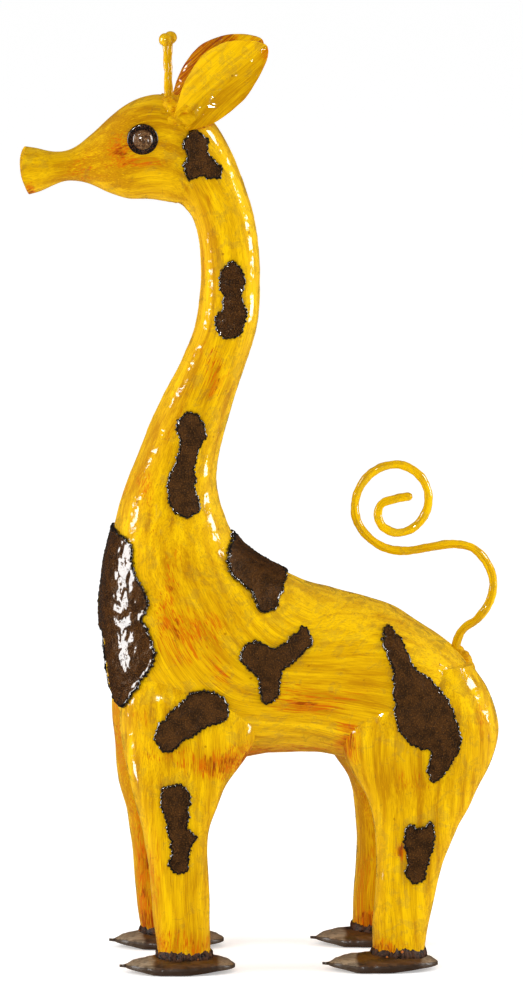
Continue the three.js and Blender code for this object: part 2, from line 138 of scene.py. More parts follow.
# a mesh object from points in the tables' millimetres
def makePiece(name, points, faces, node, attributes=None, crease=40.0):
    points = np.asarray(points, float).copy()
    points[:, 0] += shiftX
    mesh = bpy.data.meshes.new(name)
    mesh.from_pydata((points * mm).tolist(), [], [tuple(int(i) for i in f) for f in faces])
    for key, values in (attributes or {}).items():
        values = np.asarray(values, np.float32)
        kind = "FLOAT_VECTOR" if values.ndim == 2 else "FLOAT"
        layer = mesh.attributes.new(key, kind, "POINT")
        layer.data.foreach_set("vector" if values.ndim == 2 else "value", values.ravel())
    shaped = bmesh.new()
    shaped.from_mesh(mesh)
    bmesh.ops.remove_doubles(shaped, verts=shaped.verts, dist=0.00002)
    bmesh.ops.dissolve_degenerate(shaped, edges=shaped.edges, dist=0.00001)
    bmesh.ops.recalc_face_normals(shaped, faces=shaped.faces)
    shaped.to_mesh(mesh)
    shaped.free()
    mesh.polygons.foreach_set("use_smooth", [True] * len(mesh.polygons))
    mesh.set_sharp_from_angle(angle=math.radians(crease))
    piece = bpy.data.objects.new(name, mesh)
    bpy.context.scene.collection.objects.link(piece)
    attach(piece, "root")
    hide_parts(node)
    pieces[name] = piece
    return piece


# quads of a grid whose first vertex is 'start'
def gridFaces(rows, cols, start=0, closed=False, flip=False):
    faces = []
    last = cols if closed else cols - 1
    for row in range(rows - 1):
        for col in range(last):
            a = start + row * cols + col
            b = start + row * cols + (col + 1) % cols
            quad = (a, b, b + cols, a + cols)
            faces.append(quad[::-1] if flip else quad)
    return faces


# a closed tube of rings, with one more point in the middle of each end for the caps
def cappedPoints(grid):
    return np.vstack([grid.reshape(-1, 3), grid[0].mean(0)[None], grid[-1].mean(0)[None]])


def cappedFaces(grid):
    rows, cols = grid.shape[:2]
    faces = gridFaces(rows, cols, closed=True)
    last = (rows - 1) * cols
    for col in range(cols):
        faces.append((rows * cols, (col + 1) % cols, col))
        faces.append((rows * cols + 1, last + col, last + (col + 1) % cols))
    return faces


# folded sheet: outer grid, coarser inner grid and the rims between them
def sheetGeometry(outer, inner, stride):
    rows, cols = outer.shape[:2]
    innerCols = inner.shape[1]
    start = rows * cols
    faces = gridFaces(rows, cols) + gridFaces(rows, innerCols, start, flip=True)
    for row in range(rows - 1):
        for col, innerCol in ((0, 0), (cols - 1, innerCols - 1)):
            a, b = row * cols + col, (row + 1) * cols + col
            c, d = start + (row + 1) * innerCols + innerCol, start + row * innerCols + innerCol
            faces.append((a, b, c, d))
    for row in (0, rows - 1):
        for segment in range(innerCols - 1):
            near = start + row * innerCols + segment
            outerRow = [row * cols + segment * stride + k for k in range(stride + 1)]
            faces.append(tuple(outerRow) + (near + 1, near))
    points = np.vstack([outer.reshape(-1, 3), inner.reshape(-1, 3)])
    return points, faces


# Cross-sections of head, neck and torso from muzzle to rump:
# lower x and z, upper x and z, half width
body = {
    "stations": [
        [-155.5, 528.5, -158, 561, 15], [-148, 530.5, -151.5, 560, 13],
        [-134, 536.5, -137.5, 557.5, 10], [-126, 537.5, -127, 559, 11],
        [-115, 535.5, -113.5, 568, 14.5], [-101, 529, -100, 580.5, 18.5],
        [-88, 525, -86.5, 590.5, 21], [-73, 524.5, -72.5, 595.5, 21.5],
        [-61, 522.5, -57, 594.5, 20.5], [-56, 521.5, -38, 584.5, 19],
        [-54, 521.5, -24, 567, 17.5], [-45, 512.5, -10, 534.5, 17.5],
        [-39.5, 492.5, -0.8, 499.5, 18], [-39, 461.5, 1.2, 463.5, 18.5],
        [-43, 436, -1, 436, 19.5], [-52.5, 412, -11, 404, 21],
        [-66.5, 385, -19, 379, 23], [-80.5, 352, -27, 348, 26],
        [-93, 319, -28.3, 328, 30], [-100, 291.5, -24, 308.5, 35],
        [-104.8, 264.5, -15.5, 290.5, 40], [-106.5, 242.5, 1.5, 275.5, 44],
        [-104.2, 214.5, 18, 267, 47], [-96.5, 180, 36, 259, 49],
        [-68, 149, 50, 255.5, 50], [-18, 143.5, 63, 251.5, 51],
        [22, 143.5, 78, 247.5, 51], [56, 143.5, 92, 242.5, 51],
        [87, 143, 106, 233.5, 50], [114, 142, 123, 219, 46],
        [137, 144, 137, 203.5, 39], [151, 151, 146.5, 188.5, 29],
        [158.5, 160, 155, 176.5, 16], [160, 167.5, 159.5, 171.5, 4],
    ],
    "headEnd": 10, "neckEnd": 20, "squareness": 2.35, "lip": 4.25,
    "rowStep": 2.1, "halfAround": 72, "sheet": 1.4, "seam": 0.15,
    "dentSize": 26.0, "dentDepth": 0.55, "rippleSize": 8.0, "rippleDepth": 0.16,
    "beadWidth": 2.4, "beadHeight": 0.45,
}

# Legs from the foot up: z, front x, rear x, inner y, outer y
legs = {
    "front": [
        [11.5, -71.5, -36, 38, 62], [34, -74.5, -36.5, 37, 63], [52, -76, -36.5, 37, 63],
        [72, -78, -37.5, 36, 63], [86, -80, -38, 35, 63], [98, -82, -36.5, 33, 62.5],
        [112, -86, -31.5, 30, 62], [130, -90, -25, 26, 60.5], [147, -92, -16, 20, 58],
        [165, -92, -7, 16, 54], [185, -90, -8, 14, 49], [203, -84, -18, 12, 41],
    ],
    "hind": [
        [11.5, 74.5, 110, 38, 62], [34, 75, 113.5, 37, 63], [52, 76.5, 117.5, 37, 63],
        [72, 77.5, 122.5, 36, 63], [88, 77, 129, 34, 63], [98, 76, 133.5, 32, 62.5],
        [110, 74, 140.5, 29, 62], [122, 70, 146, 26, 61], [135, 65.5, 152, 21, 59.5],
        [147, 61.5, 155, 16, 57.5], [165, 60, 157, 12, 54], [185, 67, 151, 10, 49],
        [203, 78, 140, 8, 41],
    ],
    "top": 203, "squareness": 2.9, "around": 72, "rowStep": 2.2,
    "rightShift": {
        "front": [[0, -5.5], [116, -5.4], [150, -2.5], [203, 0]],
        "hind": [[0, -5.5], [116, -6.5], [203, -9]],
    },
    "blend": 32.0, "dentSize": 22, "dentDepth": 0.5, "rippleSize": 6, "rippleDepth": 0.18,
}


def legShift(which, side, z):
    if side < 0:
        return np.zeros_like(z)
    table = np.array(legs["rightShift"][which], float)
    return np.interp(z, table[:, 0], table[:, 1])


# middle x, middle y, half length and half width of a leg at height z
def legSection(which, side, z):
    table = np.array(legs[which], float)
    z = np.asarray(z, float)
    front, rear, inner, outer = (np.interp(z, table[:, 0], table[:, k]) for k in range(1, 5))
    middleX = (front + rear) / 2 + legShift(which, side, z)
    return middleX, side * (inner + outer) / 2, (rear - front) / 2, (outer - inner) / 2


# rough signed distance from points to a leg's skin
def legDistance(points, which, side):
    x, y, z = np.moveaxis(points, -1, 0)
    middleX, middleY, halfX, halfY = legSection(which, side, np.minimum(z, legs["top"]))
    power = legs["squareness"]
    across = np.abs((x - middleX) / halfX) ** power + np.abs((y - middleY) / halfY) ** power
    ratio = np.maximum(across ** (1 / power), 1e-3)
    flat = np.hypot(x - middleX, y - middleY) * (1 - 1 / ratio)
    above = np.maximum(z - legs["top"], 0)
    return np.where(above > 0, np.hypot(np.maximum(flat, 0), above), flat)


def blendHeight(distance):
    reach = legs["blend"]
    share = np.clip(1 - np.abs(distance) / reach, 0, 1)
    return reach / 6 * share ** 2 * (3 - 2 * share)


def bodyGrid(side):
    stations = np.array(body["stations"], float)
    low = np.column_stack([stations[:, 0], np.zeros(len(stations)), stations[:, 1]])
    high = np.column_stack([stations[:, 2], stations[:, 4], stations[:, 3]])
    lowSteps, highSteps = np.diff(low, axis=0), np.diff(high * [1, 0, 1], axis=0)
    lowLonger = np.linalg.norm(lowSteps, axis=1) > np.linalg.norm(highSteps, axis=1)
    longest = np.where(lowLonger[:, None], lowSteps, highSteps)
    places = rowPlaces(np.vstack([[0, 0, 0], np.cumsum(longest, axis=0)]), body["rowStep"])
    lowPoints = curveThrough(low, places)
    highPoints = curveThrough(high, places)
    half = highPoints[:, 1].copy()
    highPoints[:, 1] = 0
    middle = (lowPoints + highPoints) / 2
    upward = highPoints - middle
    halfHeight = np.linalg.norm(upward, axis=1)
    upward = unit(upward)
    forward = np.column_stack([upward[:, 2], np.zeros(len(places)), -upward[:, 0]])
    lip = body["lip"] * np.maximum(0, 1 - places)
    angle = np.linspace(0, math.pi, body["halfAround"] + 1)
    sideways = roundedPower(np.sin(angle), body["squareness"])
    sideways[[0, -1]] = 0
    rise = roundedPower(np.cos(angle), body["squareness"])
    grid = middle[:, None] + upward[:, None] * (halfHeight[:, None] * rise)[..., None]
    grid = grid - forward[:, None] * (lip[:, None] * sideways ** 2)[..., None]
    grid[..., 1] = side * half[:, None] * sideways
    strokes = np.stack([
        np.broadcast_to(travelled(middle)[:, None], grid.shape[:2]), grid[..., 1],
        halfHeight[:, None] * rise], axis=-1)
    return places, grid, strokes


def shapedBody(side):
    places, grid, strokes = bodyGrid(side)
    normals = gridNormals(grid, False)
    # the two seam columns point straight along the middle plane
    for col in (0, -1):
        normals[:, col, 1] = 0
    normals = unit(normals)
    low = grid[..., 2] < legs["top"] + legs["blend"]
    near = np.full(grid.shape[:2], 1e3)
    for which in ("front", "hind"):
        near = np.minimum(near, np.abs(legDistance(grid, which, side)))
    lift = np.where(low, blendHeight(near), 0)
    calm = stepBetween(0, 1.6, places)[:, None]
    ending = stepBetween(0, 1.5, places[-1] - places)[:, None]
    lift += body["dentDepth"] * lumpy(grid, body["dentSize"], 1) * calm * ending
    lift += body["rippleDepth"] * lumpy(grid, body["rippleSize"], 2) * calm * ending
    bead = np.clip(1 - (np.abs(grid[..., 1]) / body["beadWidth"]) ** 2, 0, 1)
    knobs = 0.7 + 0.5 * lumpy(grid, 2.6, 3)
    onBody = stepBetween(5, 7, places)[:, None]
    lift += body["beadHeight"] * bead * knobs * ending * onBody
    grid = grid + normals * lift[..., None]
    grid[..., 1] = side * np.maximum(side * grid[..., 1], body["seam"])
    return places, grid, normals, strokes


# Painted tones: x, z, reach in x, reach in z, orange amount, ochre amount. The ochre amount is
# partly painted shade, darker low on the torso and at the belly, and where negative it is painted
# light, lighter along the top of the back and the rear edge of the neck
tones = [
    [-95, 561, 7, 9, 1.25, 0.2], [-78, 552, 16, 4, 0.9, 0.25], [-39, 577, 13, 4, 1.2, 0.3],
    [-156, 531, 5, 8, 1.3, 0.35], [-126, 545, 16, 12, 0.2, 0.5], [-60, 532, 20, 9, 0.3, 0.5],
    [-36, 500, 6, 40, 0.35, 0.5], [-60, 380, 12, 30, 0.1, 0.3], [-100, 215, 8, 30, 0.5, 0.4],
    [-40, 150, 60, 9, 0.6, 0.5], [30, 148, 50, 8, 0.55, 0.5], [58, 160, 10, 12, 0.9, 0.2],
    [-62, 270, 12, 34, 0.66, 0.6], [-56, 225, 18, 20, 0.66, 0.5], [-28, 240, 26, 12, 0.66, 0.4],
    [-30, 212, 12, 20, 0.6, 0.3], [20, 180, 30, 10, 0.15, 0.2], [-50, 440, 12, 24, 0.6, 0.4],
    [-30, 395, 10, 16, 0.62, 0.3], [-80, 335, 10, 16, 0.6, 0.3], [-56, 500, 10, 18, 0.5, 0.3],
    [-90, 575, 26, 14, 0.1, 0.9], [-110, 545, 30, 12, 0.1, 0.8],
    [-100, 555, 30, 25, 0.0, 0.5], [40, 186, 30, 14, 0.5, 0.3],
    [-85, 175, 9, 14, 0.7, 0.3], [-30, 140, 24, 8, 0.8, 0.3], [-28, 415, 12, 16, 0.55, 0.2],
    [-95, 325, 8, 14, 0.5, 0.2], [120, 215, 26, 12, 0.0, -0.5], [30, 240, 60, 16, -0.2, -0.5],
    [150, 175, 7, 26, 0.6, 0.2], [95, 130, 26, 14, 0.15, 0.9], [60, 200, 30, 20, 0.05, 0.35],
    [-20, 320, 14, 30, 0.0, -0.4], [0, 460, 8, 60, 0.0, -0.5],
    [-78, 370, 14, 50, 0.1, 0.5], [20, 190, 26, 14, 0.35, 0.2],
    [-55, 18, 30, 13, 0.85, 0.8], [82, 16, 14, 9, 1.0, 0.3], [105, 20, 14, 10, 0.3, 0.3],
    [-75, 80, 6, 60, 0.45, 0.4], [92, 84, 5, 8, 1.1, 0.2], [-60, 60, 20, 40, 0.2, 0.4],
]


def toneAt(points):
    warm = np.zeros(len(points))
    ochre = np.zeros(len(points))
    for x, z, reachX, reachZ, warmth, depth in tones:
        away = ((points[:, 0] - x) / reachX) ** 2 + ((points[:, 2] - z) / reachZ) ** 2
        weight = np.exp(-away)
        warm += warmth * weight
        # ochre value: painted shade where the amount is positive, painted light where it is
        # negative
        ochre += depth * weight
    return warm, ochre


# the ochre value darkens the yellow toward ochre: partly painted shade, and painted light where it
# goes negative
def paintedAttributes(points, strokes, extraWarm=0.0, extraOchreShade=0.0):
    warm, ochre = toneAt(points)
    return {"strokes": strokes, "warm": warm + extraWarm, "ochre": ochre + extraOchreShade}


print("body shells")
bodySkin = {}
for sideName, side in sides.items():
    places, grid, normals, strokes = shapedBody(side)
    bodySkin[sideName] = grid
    spans = {
        "head": (0, body["headEnd"], 3), "neck": (body["headEnd"], body["neckEnd"], 6),
        "torso": (body["neckEnd"], len(body["stations"]) - 1, 6),
    }
    for region, (start, end, stride) in spans.items():
        rows = np.where((places >= start - 1e-6) & (places <= end + 1e-6))[0]
        outer = grid[rows]
        # the sheet thins to an edge where the rump closes and at the muzzle's lip
        closing = stepBetween(0, 2.2, places[-1] - places[rows])
        wall = body["sheet"] * np.maximum(closing, 0.04)
        if region == "head":
            wall = wall * (0.6 + 0.4 * stepBetween(0, 0.4, places[rows]))
        inner = (outer - normals[rows] * wall[:, None, None])[:, ::stride]
        inner[..., 1] = side * np.maximum(side * inner[..., 1], body["seam"])
        points, faces = sheetGeometry(outer, inner, stride)
        lines = strokes[rows]
        lines = np.vstack([lines.reshape(-1, 3), lines[:, ::stride].reshape(-1, 3)])
        attributes = paintedAttributes(points, lines)
        makePiece(f"{region}Shell{sideName.capitalize()}", points, faces,
                  f"{region}_shell_{sideName}", attributes)


def skinTree(grids):
    points, faces = [], []
    for grid, closed in grids:
        faces += gridFaces(grid.shape[0], grid.shape[1], len(points), closed)
        points += [Vector(p) for p in grid.reshape(-1, 3)]
    return BVHTree.FromPolygons(points, faces)


bodyHalves = [(grid, False) for grid in bodySkin.values()]
bodyTree = skinTree(bodyHalves)


# which way the body tree's face normals point, found from one point far outside
def outwardSign(side):
    outside = Vector((0, 200 * side, 200))
    nearest, towards, _, _ = bodyTree.find_nearest(outside)
    return 1 if (outside - nearest).dot(towards) > 0 else -1


def legGrid(which, side):
    table = np.array(legs[which], float)
    places = rowPlaces(table[:, :1], legs["rowStep"])
    rows = curveThrough(table, places)
    z, front, rear, inner, outer = rows.T
    angle = np.linspace(0, 2 * math.pi, legs["around"], endpoint=False)
    cosine = roundedPower(np.cos(angle), legs["squareness"])
    sine = roundedPower(np.sin(angle), legs["squareness"])
    middleX = (front + rear) / 2 + legShift(which, side, z)
    grid = np.empty((len(z), legs["around"], 3))
    grid[..., 0] = middleX[:, None] + ((rear - front) / 2)[:, None] * cosine
    grid[..., 1] = (side * (inner + outer) / 2)[:, None] + ((outer - inner) / 2)[:, None] * sine
    grid[..., 2] = z[:, None]
    normals = gridNormals(grid, True)
    outward = outwardSign(side)
    distance = []
    for point in grid.reshape(-1, 3):
        hit, normal, _, gap = bodyTree.find_nearest(Vector(point))
        distance.append(gap if (Vector(point) - hit).dot(normal) * outward >= 0 else -gap)
    distance = np.array(distance).reshape(grid.shape[:2])
    lift = blendHeight(distance) * (distance > -legs["blend"])
    lift += legs["dentDepth"] * lumpy(grid, legs["dentSize"], 11)
    lift += legs["rippleDepth"] * lumpy(grid * [1, 1, 0.5], legs["rippleSize"], 12)
    return grid + normals * lift[..., None]


print("legs")
legSkin = {}
for which in ("front", "hind"):
    for sideName, side in sides.items():
        grid = legGrid(which, side)
        legSkin[which, sideName] = grid
        points = cappedPoints(grid)
        strokes = points[:, [2, 0, 1]]
        table = np.array(legs[which], float)
        middleY = side * np.interp(points[:, 2], table[:, 0], (table[:, 3] + table[:, 4]) / 2)
        # painted shade: the inner face of each leg, toward the other leg, gets more orange and
        # darker ochre
        inner = stepBetween(2, 9, side * (middleY - points[:, 1]))
        attributes = paintedAttributes(points, strokes, 0.42 * inner, 0.9 * inner)
        makePiece(f"{which}Leg{sideName.capitalize()}", points, cappedFaces(grid),
                  f"leg_{which}_{sideName}", attributes)


# Feet: leaf pads hammered up under the leg, thin at the rim, with a nib at the toe.
# Tables give share of the length and a height, for the middle of the top and the sole's rim
foot = {
    "length": 79.0, "half": 19.2, "rim": 1.7, "y": 50.0, "nib": 0.05, "nibHalf": 1.3,
    "leafStart": 0.0525, "widest": 0.47, "frontPower": 0.5, "heelPower": 2.8, "dish": 1.8,
    "toeX": {"front": -98.0, "hind": 40.5}, "rightShift": -1.0, "rows": 90, "cols": 49,
    "top": [[0, 4.6], [0.07, 5.6], [0.12, 8.2], [0.25, 10.6], [0.42, 12], [0.6, 12.8],
            [0.74, 12], [0.86, 10.2], [0.94, 8], [1, 5]],
    "sole": [[0, 3.6], [0.08, 3.0], [0.19, 1.8], [0.28, 0.2], [0.6, 0.2], [0.84, 2.4], [1, 3.0]],
}


def footHalf(share):
    start, widest = foot["leafStart"], foot["widest"]
    leaf = np.clip((share - start) / (widest - start), 0, 1)
    front = np.sin(leaf * math.pi / 2) ** foot["frontPower"]
    back = np.maximum(0, (share - widest) / (1 - widest))
    heel = np.sqrt(np.maximum(0, 1 - back ** foot["heelPower"]))
    nib = foot["nibHalf"] * (0.35 + 0.65 * np.minimum(1, share / foot["nib"]))
    return np.maximum(foot["half"] * front * heel, nib * (share < 0.5))


def footPiece(which, sideName):
    side = sides[sideName]
    seed = 20 + 2 * (which == "hind") + (side > 0)
    shares = 0.5 - 0.5 * np.cos(np.linspace(0.05, math.pi - 0.015, foot["rows"]))
    even = np.linspace(-1, 1, foot["cols"])
    across = 0.75 * np.sin(even * math.pi / 2) + 0.25 * even
    share, wide = np.meshgrid(shares, across, indexing="ij")
    half = footHalf(share)
    x = share * foot["length"]
    flat = np.stack([x, wide * half, np.zeros(share.shape)], axis=-1)
    y = wide * half * (1 + 0.05 * lumpy(flat, 9, seed + 3) + 0.02 * lumpy(flat, 3, seed + 4))
    topTable, soleTable = np.array(foot["top"]), np.array(foot["sole"])
    sole = np.interp(share, soleTable[:, 0], soleTable[:, 1])
    peak = np.interp(share, topTable[:, 0], topTable[:, 1])
    rim = np.maximum(0, 1 - wide ** 2)
    top = sole + foot["rim"] + (peak - sole - foot["rim"]) * rim ** 0.5
    place = np.stack([x, y, sole], axis=-1)
    calm = np.minimum(1, rim * 2.5)
    top += calm * (0.5 * lumpy(place, 8, seed) + 0.3 * lumpy(place, 3.5, seed + 5))
    dish = foot["dish"] * rim * stepBetween(0.1, 0.3, share) * (1 - stepBetween(0.8, 1, share))
    grid = np.concatenate([np.stack([x, y, top], -1), np.stack([x, y, sole + dish], -1)], 0)
    grid = grid.reshape(-1, 3)
    grid[:, 0] += foot["toeX"][which] + (foot["rightShift"] if side > 0 else 0)
    grid[:, 1] += side * foot["y"]
    grid[:, 2] = np.maximum(grid[:, 2], 0)
    rows, cols = share.shape
    count = rows * cols
    faces = gridFaces(rows, cols) + gridFaces(rows, cols, count, flip=True)
    loop = list(range(cols)) + [row * cols + cols - 1 for row in range(1, rows)]
    loop += [(rows - 1) * cols + col for col in range(cols - 2, -1, -1)]
    loop += [row * cols for row in range(rows - 2, 0, -1)]
    for a, b in zip(loop, loop[1:] + loop[:1]):
        faces.append((a, b, b + count, a + count))
    margin = np.minimum((1 - np.abs(wide)) * half, (1 - share) * foot["length"])
    margin = np.minimum(margin, x)
    # painted reflection: a pale sheen over the toe third and the heel end, where the flat pad
    # mirrors the light
    sheen = 1 - stepBetween(0.27, 0.31, share + 0.02 * lumpy(place, 5, seed + 6))
    sheen = np.maximum(sheen, 0.8 * stepBetween(0.83, 0.87, share))
    attributes = {
        "strokes": grid - grid.mean(0), "edge": np.tile(margin.ravel(), 2),
        "sheen": np.tile(sheen.ravel(), 2),
    }
    makePiece(f"{which}Foot{sideName.capitalize()}", grid, faces, f"foot_{which}_{sideName}",
              attributes, crease=55)
    upper = grid[:count].reshape(rows, cols, 3)
    return skinTree([(upper, False)])


# ragged weld metal between leg and foot
footWeld = {
    "spread": 1.9, "top": 15.6, "around": 160, "rows": 9, "inset": 1.0, "swell": 1.1,
    "sunk": 0.8, "above": 1.0, "lumps": 3, "crumbs": 11,
}


def ringNoise(direction, scale, seed):
    return np.array([noise.noise(Vector((x * scale, y * scale, seed))) for x, y in direction])


def footWeldPiece(which, sideName, footTree, seed):
    base = legSkin[which, sideName][0]
    centre = base.mean(0)
    angle = np.linspace(0, 2 * math.pi, footWeld["around"], endpoint=False)
    baseAngle = np.arctan2(base[:, 1] - centre[1], base[:, 0] - centre[0])
    order = np.argsort(baseAngle)
    radius = np.hypot(base[:, 0] - centre[0], base[:, 1] - centre[1])
    legRadius = np.interp(angle, baseAngle[order], radius[order], period=2 * math.pi)
    direction = np.column_stack([np.cos(angle), np.sin(angle)])
    lump = ringNoise(direction, footWeld["lumps"], seed)
    fine = ringNoise(direction, footWeld["crumbs"], seed)
    rings = []
    for row in range(footWeld["rows"]):
        share = row / (footWeld["rows"] - 1)
        swell = math.sin(math.pi * (0.12 + 0.88 * share)) ** 0.8
        spread = footWeld["spread"] * (1 + 0.35 * lump + 0.2 * fine) * (1 - share) ** 0.7
        out = legRadius - footWeld["inset"] + spread + (footWeld["swell"] + 0.7 * fine) * swell
        xy = centre[:2] + direction * out[:, None]
        ground = []
        for x, y in xy:
            hit = footTree.ray_cast(Vector((x, y, 60)), Vector((0, 0, -1)))[0]
            ground.append(hit.z if hit else 2.0)
        ground = np.array(ground)
        top = footWeld["top"] + 2.6 * lump + 1.5 * fine
        top = np.maximum(top, ground + footWeld["above"])
        z = (ground - footWeld["sunk"]) * (1 - share) + top * share
        rings.append(np.column_stack([xy, z]))
    grid = np.array(rings)
    grid[1:-1] += (0.5 * lumpy(grid[1:-1], 2.2, seed))[..., None] * unit(grid[1:-1] - centre)
    points = np.vstack([
        grid.reshape(-1, 3), [[centre[0], centre[1], grid[0, :, 2].min()]],
        [[centre[0], centre[1], grid[-1, :, 2].mean()]]])
    attributes = {"strokes": points[:, [2, 0, 1]]}
    makePiece(f"{which}FootWeld{sideName.capitalize()}", points, cappedFaces(grid),
              f"foot_weld_{which}_{sideName}", attributes, crease=60)


print("feet")
for index, which in enumerate(("front", "hind")):
    for sideName in sides:
        tree = footPiece(which, sideName)
        footWeldPiece(which, sideName, tree, 3.3 + 2 * index + sides[sideName])


# Ears: share of the length, width above and below the midrib
ear = {
    "base": [-54.0, 578.0], "tip": [4.5, 630.5], "y": 15.5, "cup": 6.0, "sheet": 1.3,
    "sections": [[0, 7, 6], [0.12, 13, 11], [0.3, 20.5, 15.5], [0.55, 25, 16.5],
                 [0.73, 21.5, 13.5], [0.9, 12.5, 8.5], [0.98, 5, 4], [1.005, 1.2, 1.0]],
    "rightShift": -0.7, "rowStep": 0.115, "cols": 49, "stride": 2,
    "flare": 1.1, "flareStart": 0.86, "ridge": 0.54, "ridgeWidth": 0.1,
    "strokeLength": 78, "strokeWidth": 20,
}


def earPiece(sideName):
    side = sides[sideName]
    shift = ear["rightShift"] if side > 0 else 0.0
    base = np.array([ear["base"][0] + shift, 0, ear["base"][1]])
    along = np.array([ear["tip"][0] - ear["base"][0], 0, ear["tip"][1] - ear["base"][1]])
    above = unit(np.array([-along[2], 0, along[0]]))
    sections = np.array(ear["sections"])
    places = np.arange(0, len(sections) - 1 + 1e-6, ear["rowStep"])
    rows = curveThrough(sections, np.append(places, len(sections) - 1))
    share, across = np.meshgrid(rows[:, 0], np.linspace(-1, 1, ear["cols"]), indexing="ij")
    level = np.zeros(share.shape)
    width = np.where(across > 0, rows[:, 1][:, None], rows[:, 2][:, None])
    flat = np.stack([share * 30, across * 30, level], -1)
    ragged = 1 + 0.03 * lumpy(flat, 3.2, 31 + side) * np.abs(across) ** 4
    offset = across * width * ragged
    grid = base + share[..., None] * along + offset[..., None] * above
    cup = ear["cup"] * across ** 2 * np.sin(math.pi * np.minimum(1, share + 0.25))
    start = ear["flareStart"]
    flare = ear["flare"] * np.clip(np.abs(across) - start, 0, 1) / (1 - start)
    ridge = ear["ridge"] * np.exp(-(across / ear["ridgeWidth"]) ** 2)
    ridge *= stepBetween(0.02, 0.3, share)
    dents = 0.6 * lumpy(grid, 13, 33 + side) + 0.2 * lumpy(grid, 5, 34)
    grid[..., 1] = side * (ear["y"] + cup + ear["sheet"] / 2 + flare - ridge) + dents
    inner = grid[:, ::ear["stride"]].copy()
    inner[..., 1] -= side * ear["sheet"]
    points, faces = sheetGeometry(grid, inner, ear["stride"])
    lines = np.stack([share * ear["strokeLength"], offset, level], -1)
    strokes = np.vstack([lines.reshape(-1, 3), lines[:, ::ear["stride"]].reshape(-1, 3)])
    allShare = strokes[:, 0] / ear["strokeLength"]
    allAcross = strokes[:, 1] / ear["strokeWidth"]
    warm = 0.55 * stepBetween(0.72, 0.98, allShare) + 0.25 * stepBetween(0.1, -0.9, allAcross)
    # painted shade and light across the ear: darker ochre along the lower edge, lighter along the
    # upper edge
    ochre = 0.75 * stepBetween(0.15, -0.25, allAcross) - 0.45 * stepBetween(0.0, 0.5, allAcross)
    # the far ear shows its inner side, with more of the under coat along its upper rim; the extra
    # orange and darker ochre there and over the whole far ear is also painted shade behind the
    # near ear
    if side > 0:
        band = stepBetween(0.35, 0.55, allAcross) * (1 - stepBetween(0.75, 0.9, allShare))
        warm = warm + 0.2 + 1.6 * band
        ochre = ochre + 0.7 * band
    attributes = {"strokes": strokes, "warm": warm, "ochre": ochre}
    makePiece(f"ear{sideName.capitalize()}", points, faces, f"ear_{sideName}",
              attributes, crease=50)


# a round bar along a path, 'across' is the direction square to the bend
def barGeometry(path, radii, around, seed, rough):
    tangent = unit(np.gradient(path, axis=0))
    across = np.array([0, 1.0, 0])
    normal = unit(np.cross(tangent, across))
    angle = np.linspace(0, 2 * math.pi, around, endpoint=False)
    ring = normal[:, None] * np.cos(angle)[None, :, None] + across * np.sin(angle)[None, :, None]
    grid = path[:, None] + ring * np.asarray(radii)[:, None, None]
    grid = grid + ring * (rough * lumpy(grid, 3.2, seed))[..., None]
    rows, cols = grid.shape[:2]
    strokes = np.zeros((rows * cols + 2, 3))
    strokes[:-2, 0] = np.repeat(travelled(path), cols)
    strokes[:-2, 1] = np.tile(np.cos(angle) * 4, rows)
    strokes[:-2, 2] = np.tile(np.sin(angle) * 4, rows)
    return cappedPoints(grid), cappedFaces(grid), strokes


def hornPiece(sideName):
    side = sides[sideName]
    z = np.concatenate([np.arange(horn["footZ"], horn["beadZ"] - 7, 0.9),
                        horn["beadZ"] + horn["bead"] * np.sin(np.linspace(-1.25, 1.5, 22))])
    rise = z - horn["footZ"]
    x = horn["x"][sideName] + 0.5 * np.sin(rise / 9 + side) * stepBetween(0, 12, rise)
    y = side * horn["y"] + 0.4 * np.cos(rise / 11)
    bead = np.maximum(0, 1 - ((z - horn["beadZ"]) / horn["bead"]) ** 2) ** 0.5 * horn["bead"]
    wire = horn["wire"] * (1 + 0.12 * np.sin(rise / 2.3 + side))
    radii = np.where(z < horn["beadZ"], np.maximum(bead, wire), np.maximum(bead, 0.2))
    points, faces, strokes = barGeometry(np.column_stack([x, y, z]), radii, 28, 41 + side, 0.35)
    attributes = {"strokes": strokes, "warm": np.full(len(points), 0.3),
                  "ochre": np.full(len(points), 0.1)}
    makePiece(f"horn{sideName.capitalize()}", points, faces, f"horn_{sideName}",
              attributes, crease=60)


tail = {
    "radius": 2.9, "step": 1.1, "around": 24,
    "path": [
        [105.5, 318.2], [93.5, 316.2], [84.5, 312.7], [82, 305.2], [85.5, 297.2], [94.5, 293],
        [105.5, 295.7], [114.5, 306.2], [116.5, 319.2], [111, 331.7], [98.5, 339.5], [84.5, 338.2],
        [73, 329.7], [66.8, 316.2], [67.5, 302.2], [75, 290.7], [87.5, 282.4], [101.5, 280.4],
        [117.5, 282.7], [132.5, 284.7], [146, 282.2], [155.5, 273.2], [160.8, 260.2], [159, 245.7],
        [150.5, 233.2], [140.5, 225.7], [136, 216.7], [135.5, 203],
    ],
}


def tailPiece():
    flat = np.array([[x, 0, z] for x, z in tail["path"]], float)
    path = curveThrough(flat, rowPlaces(flat, tail["step"]))
    count = len(path)
    radii = np.full(count, tail["radius"])
    radii[:4] *= [0.45, 0.78, 0.92, 0.98]
    radii *= 1 + 0.035 * np.sin(np.arange(count) / 5.0) + 0.03 * np.sin(np.arange(count) / 2.1)
    points, faces, strokes = barGeometry(path, radii, tail["around"], 47, 0.3)
    warm = 0.25 + 0.25 * lumpy(points, 14, 48)
    attributes = {"strokes": strokes, "warm": warm, "ochre": np.full(len(points), -0.15)}
    makePiece("tailBar", points, faces, "tail_rod", attributes, crease=60)


print("ears, horns and tail")
for sideName in sides:
    earPiece(sideName)
    hornPiece(sideName)
tailPiece()


weldVoxel = 0.55


